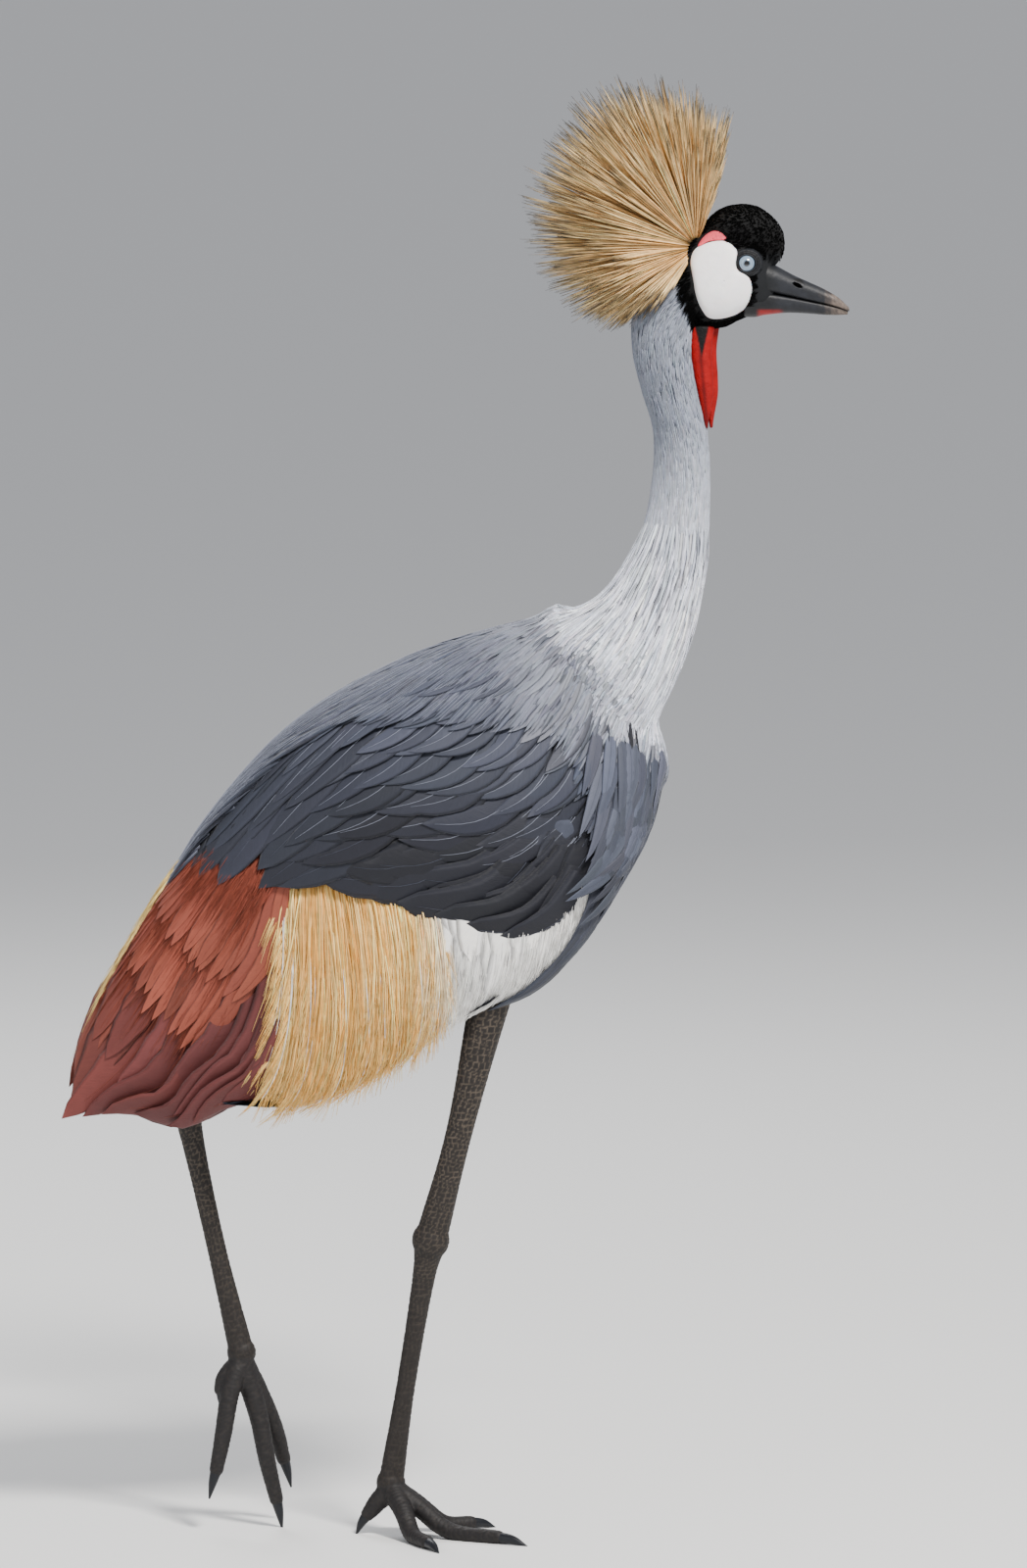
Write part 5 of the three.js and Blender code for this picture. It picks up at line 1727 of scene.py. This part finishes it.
bill = {}
for part, rows in (("upper", BILL_UPPER), ("lower", BILL_LOWER)):
    points, faces = tube(section_rings(rows, 60, 48, flat=BILL_FLAT[part]))
    bill[part] = mesh_object(f"bill_{part}_horn", points, faces)
    piece(bill[part], "bill", "bill", f"bill_{part}")
nostrils(bill["upper"])
for half_bill in bill.values():
    horn(half_bill)


def wattle():
    """Two lobes of wrinkled skin, grown together, dark under the chin, with painted shade in their crease."""
    lobes = []
    for side in SIDES.values():
        rows = np.array(WATTLE) + [side * WATTLE_STAGGER, 0, side * WATTLE_STAGGER, 0, 0]
        lobes.append(section_rings(rows, 26, 26, y=side * WATTLE_APART))
    made = fused("wattle_skin", lobes, voxel=0.9, rounds=4)
    x, _, z = points_of(made).T
    crease_shade = np.exp(-((x - np.interp(z, *WATTLE_CREASE_SHADE)) / 1.3) ** 2)
    chin = smooth((z - np.interp(np.abs(x - 222), *WATTLE_CHIN)) / 4)
    # Painted shade: the scarlet is darkened in the crease between the lobes.
    hue = mix(PALETTE["scarlet"] * 1.1, PALETTE["scarlet"] * 0.45, crease_shade[:, None])
    coloured(made, tint(hue, "black", chin))
    piece(made, "wattle", "red_skin", "wattle")


wattle()


# The legs, one skin from thigh to toes, with raised scales

LINE_POINTS = 60
# The length of a scale, how many go round, and how far each stands out.
SCALE = {"leg": 3.3, "toe": 3.2, "round_tibia": 14, "round_tarsus": 11, "round_toe": 3, "rise": 0.35}


def leg_tubes(name):
    """Tubes of shank, foot bone and toes, with balls at the joints."""
    leg = LEGS[name]
    tubes = [
        stalk_rings(leg["tibia"], TIBIA_RADII[name], 50, 20, NARROW),
        stalk_rings(leg["tarsus"], TARSUS_RADII, 40, 20, NARROW),
        ball_rings(leg["tarsus"][0], ANKLE),
        ball_rings(leg["tarsus"][-1], BALL),
    ]
    return tubes + [stalk_rings(path, TOE_RADII, 24, 16) for path, _ in TOES[name].values()]


def scale_borders(points, name):
    """How near points of a leg lie to the seams between its scales, and whether they lie on a toe."""
    paths = [LEGS[name]["tibia"], LEGS[name]["tarsus"]] + [path for path, _ in TOES[name].values()]
    lines = np.array([spread(path)(shares(LINE_POINTS)) for path in paths])
    apart = np.stack([np.linalg.norm(points[:, None] - line, axis=-1) for line in lines], 1)
    line_at, place_at = np.divmod(apart.reshape(len(points), -1).argmin(1), LINE_POINTS)
    is_toe = line_at > 1
    ahead = unit(np.gradient(lines, axis=1))[line_at, place_at]
    across = unit(np.cross(ahead, [0.0, 1.0, 0.001]))
    third = np.cross(ahead, across)
    away = points - lines[line_at, place_at]
    lengths = np.array([length_of(line) for line in lines])[line_at]
    run = (away * ahead).sum(-1) + place_at / (LINE_POINTS - 1) * lengths
    turn = np.arctan2((away * third).sum(-1), (away * across).sum(-1))
    row = run / np.where(is_toe, SCALE["toe"], SCALE["leg"]) + 0.22 * np.sin(2 * turn + run * 0.35)
    around = np.where(line_at == 1, SCALE["round_tarsus"], SCALE["round_tibia"])
    around = np.where(is_toe, SCALE["round_toe"], around)
    column = turn / (2 * np.pi) * around + 7 * np.sin(np.floor(row) * 12.9) + 0.15 * np.sin(row * 2.1)
    border = 2 * np.maximum(np.abs(column % 1 - 0.5), np.abs(row % 1 - 0.5))
    return fade(border, 0.72, 0.98), is_toe


def leg_skin(name):
    """The skin of a leg and foot, with its scales pushed out and its seams pushed in."""
    made = fused(f"leg_{name}", leg_tubes(name), voxel=1.0, rounds=5)
    points = points_of(made)
    border, is_toe = scale_borders(points, name)
    normals = np.empty(points.size)
    made.data.vertices.foreach_get("normal", normals)
    moved = points + normals.reshape(-1, 3) * (SCALE["rise"] * (0.5 - border))[:, None]
    moved[:, 2] = np.maximum(moved[:, 2], 0.0)
    made.data.vertices.foreach_set("co", to_frame(moved).ravel())
    made.data.update()
    pale = fade(points[:, 2], 120, 320) * 0.45 + 0.1
    coloured(made, tint(tint(PALETTE["leg"], "seam", border * pale), "claw", is_toe * 0.35))
    piece(made, "scales", "leg_scales", f"tibia_{name}", f"tarsus_{name}", f"foot_{name}")


def claws(name):
    """A claw from each toe's end to its tip, arched a little."""
    for toe, (path, tip) in TOES[name].items():
        end, before, tip = np.array(path[-1], float), np.array(path[-2], float), np.array(tip, float)
        middle = mix(end, tip, 0.5) + np.array([0, 0, 1.5])
        rings = stalk_rings([end - unit(end - before) * 2, middle, tip], CLAW_RADII, 16, 16)
        rings[..., 2] = np.maximum(rings[..., 2], 0.0)
        points, faces = tube(rings)
        made = mesh_object(f"claw_{toe}_{name}_horn", points, faces)
        coloured(made, PALETTE["claw"])
        piece(made, "claw", "claw", f"claw_{toe}_{name}")


for name in SIDES:
    leg_skin(name)
    claws(name)


# The floor, the light and the camera

LIGHT_AIM = Vector((0, 0, 0.6))
VIEW = {"aim": (88.2, 0, 542.5), "distance": 7, "down": 5.5, "lens": 225, "sensor": 36, "clip_end": 600}


def floor_look():
    material = bpy.data.materials.new("floor")
    material.use_nodes = True
    shader = material.node_tree.nodes["Principled BSDF"]
    socket(shader, "Base Color", (0.8, 0.8, 0.79, 1))
    socket(shader, "Roughness", 0.9)
    return material


def area_light(name, place, *, size, power, colour=(1, 1, 1)):
    """A square light that is turned to the bird. place and size are in metres, and power is in watts."""
    data = bpy.data.lights.new(name, "AREA")
    data.size, data.energy, data.color = size, power, colour
    made = linked(name, data)
    made.location = place
    made.rotation_euler = (LIGHT_AIM - Vector(place)).to_track_quat("-Z", "Y").to_euler()


bpy.ops.mesh.primitive_plane_add(size=400)
floor = bpy.context.object
floor.name = "floor"
floor.data.materials.append(floor_look())

area_light("key", (1.2, -2.0, 3.2), size=0.7, power=230, colour=(1, 0.97, 0.93))
area_light("fill", (-2.6, -2.4, 1.6), size=2.5, power=26)
area_light("rim", (-0.8, 2.6, 2.6), size=1.5, power=60)
world = bpy.data.worlds.new("studio")
world.use_nodes = True
background = world.node_tree.nodes["Background"]
socket(background, "Color", (0.92, 0.94, 1, 1))
socket(background, "Strength", 0.55)
bpy.context.scene.world = world

camera_data = bpy.data.cameras.new("camera")
camera_data.lens, camera_data.sensor_width = VIEW["lens"], VIEW["sensor"]
camera_data.clip_end = VIEW["clip_end"]
camera = linked("camera", camera_data)
pitch = math.radians(VIEW["down"])
away = Vector((0, -math.cos(pitch), math.sin(pitch))) * VIEW["distance"]
camera.location = Vector(to_frame(VIEW["aim"])) + away
camera.rotation_euler = (math.pi / 2 - pitch, 0, 0)
bpy.context.scene.camera = camera
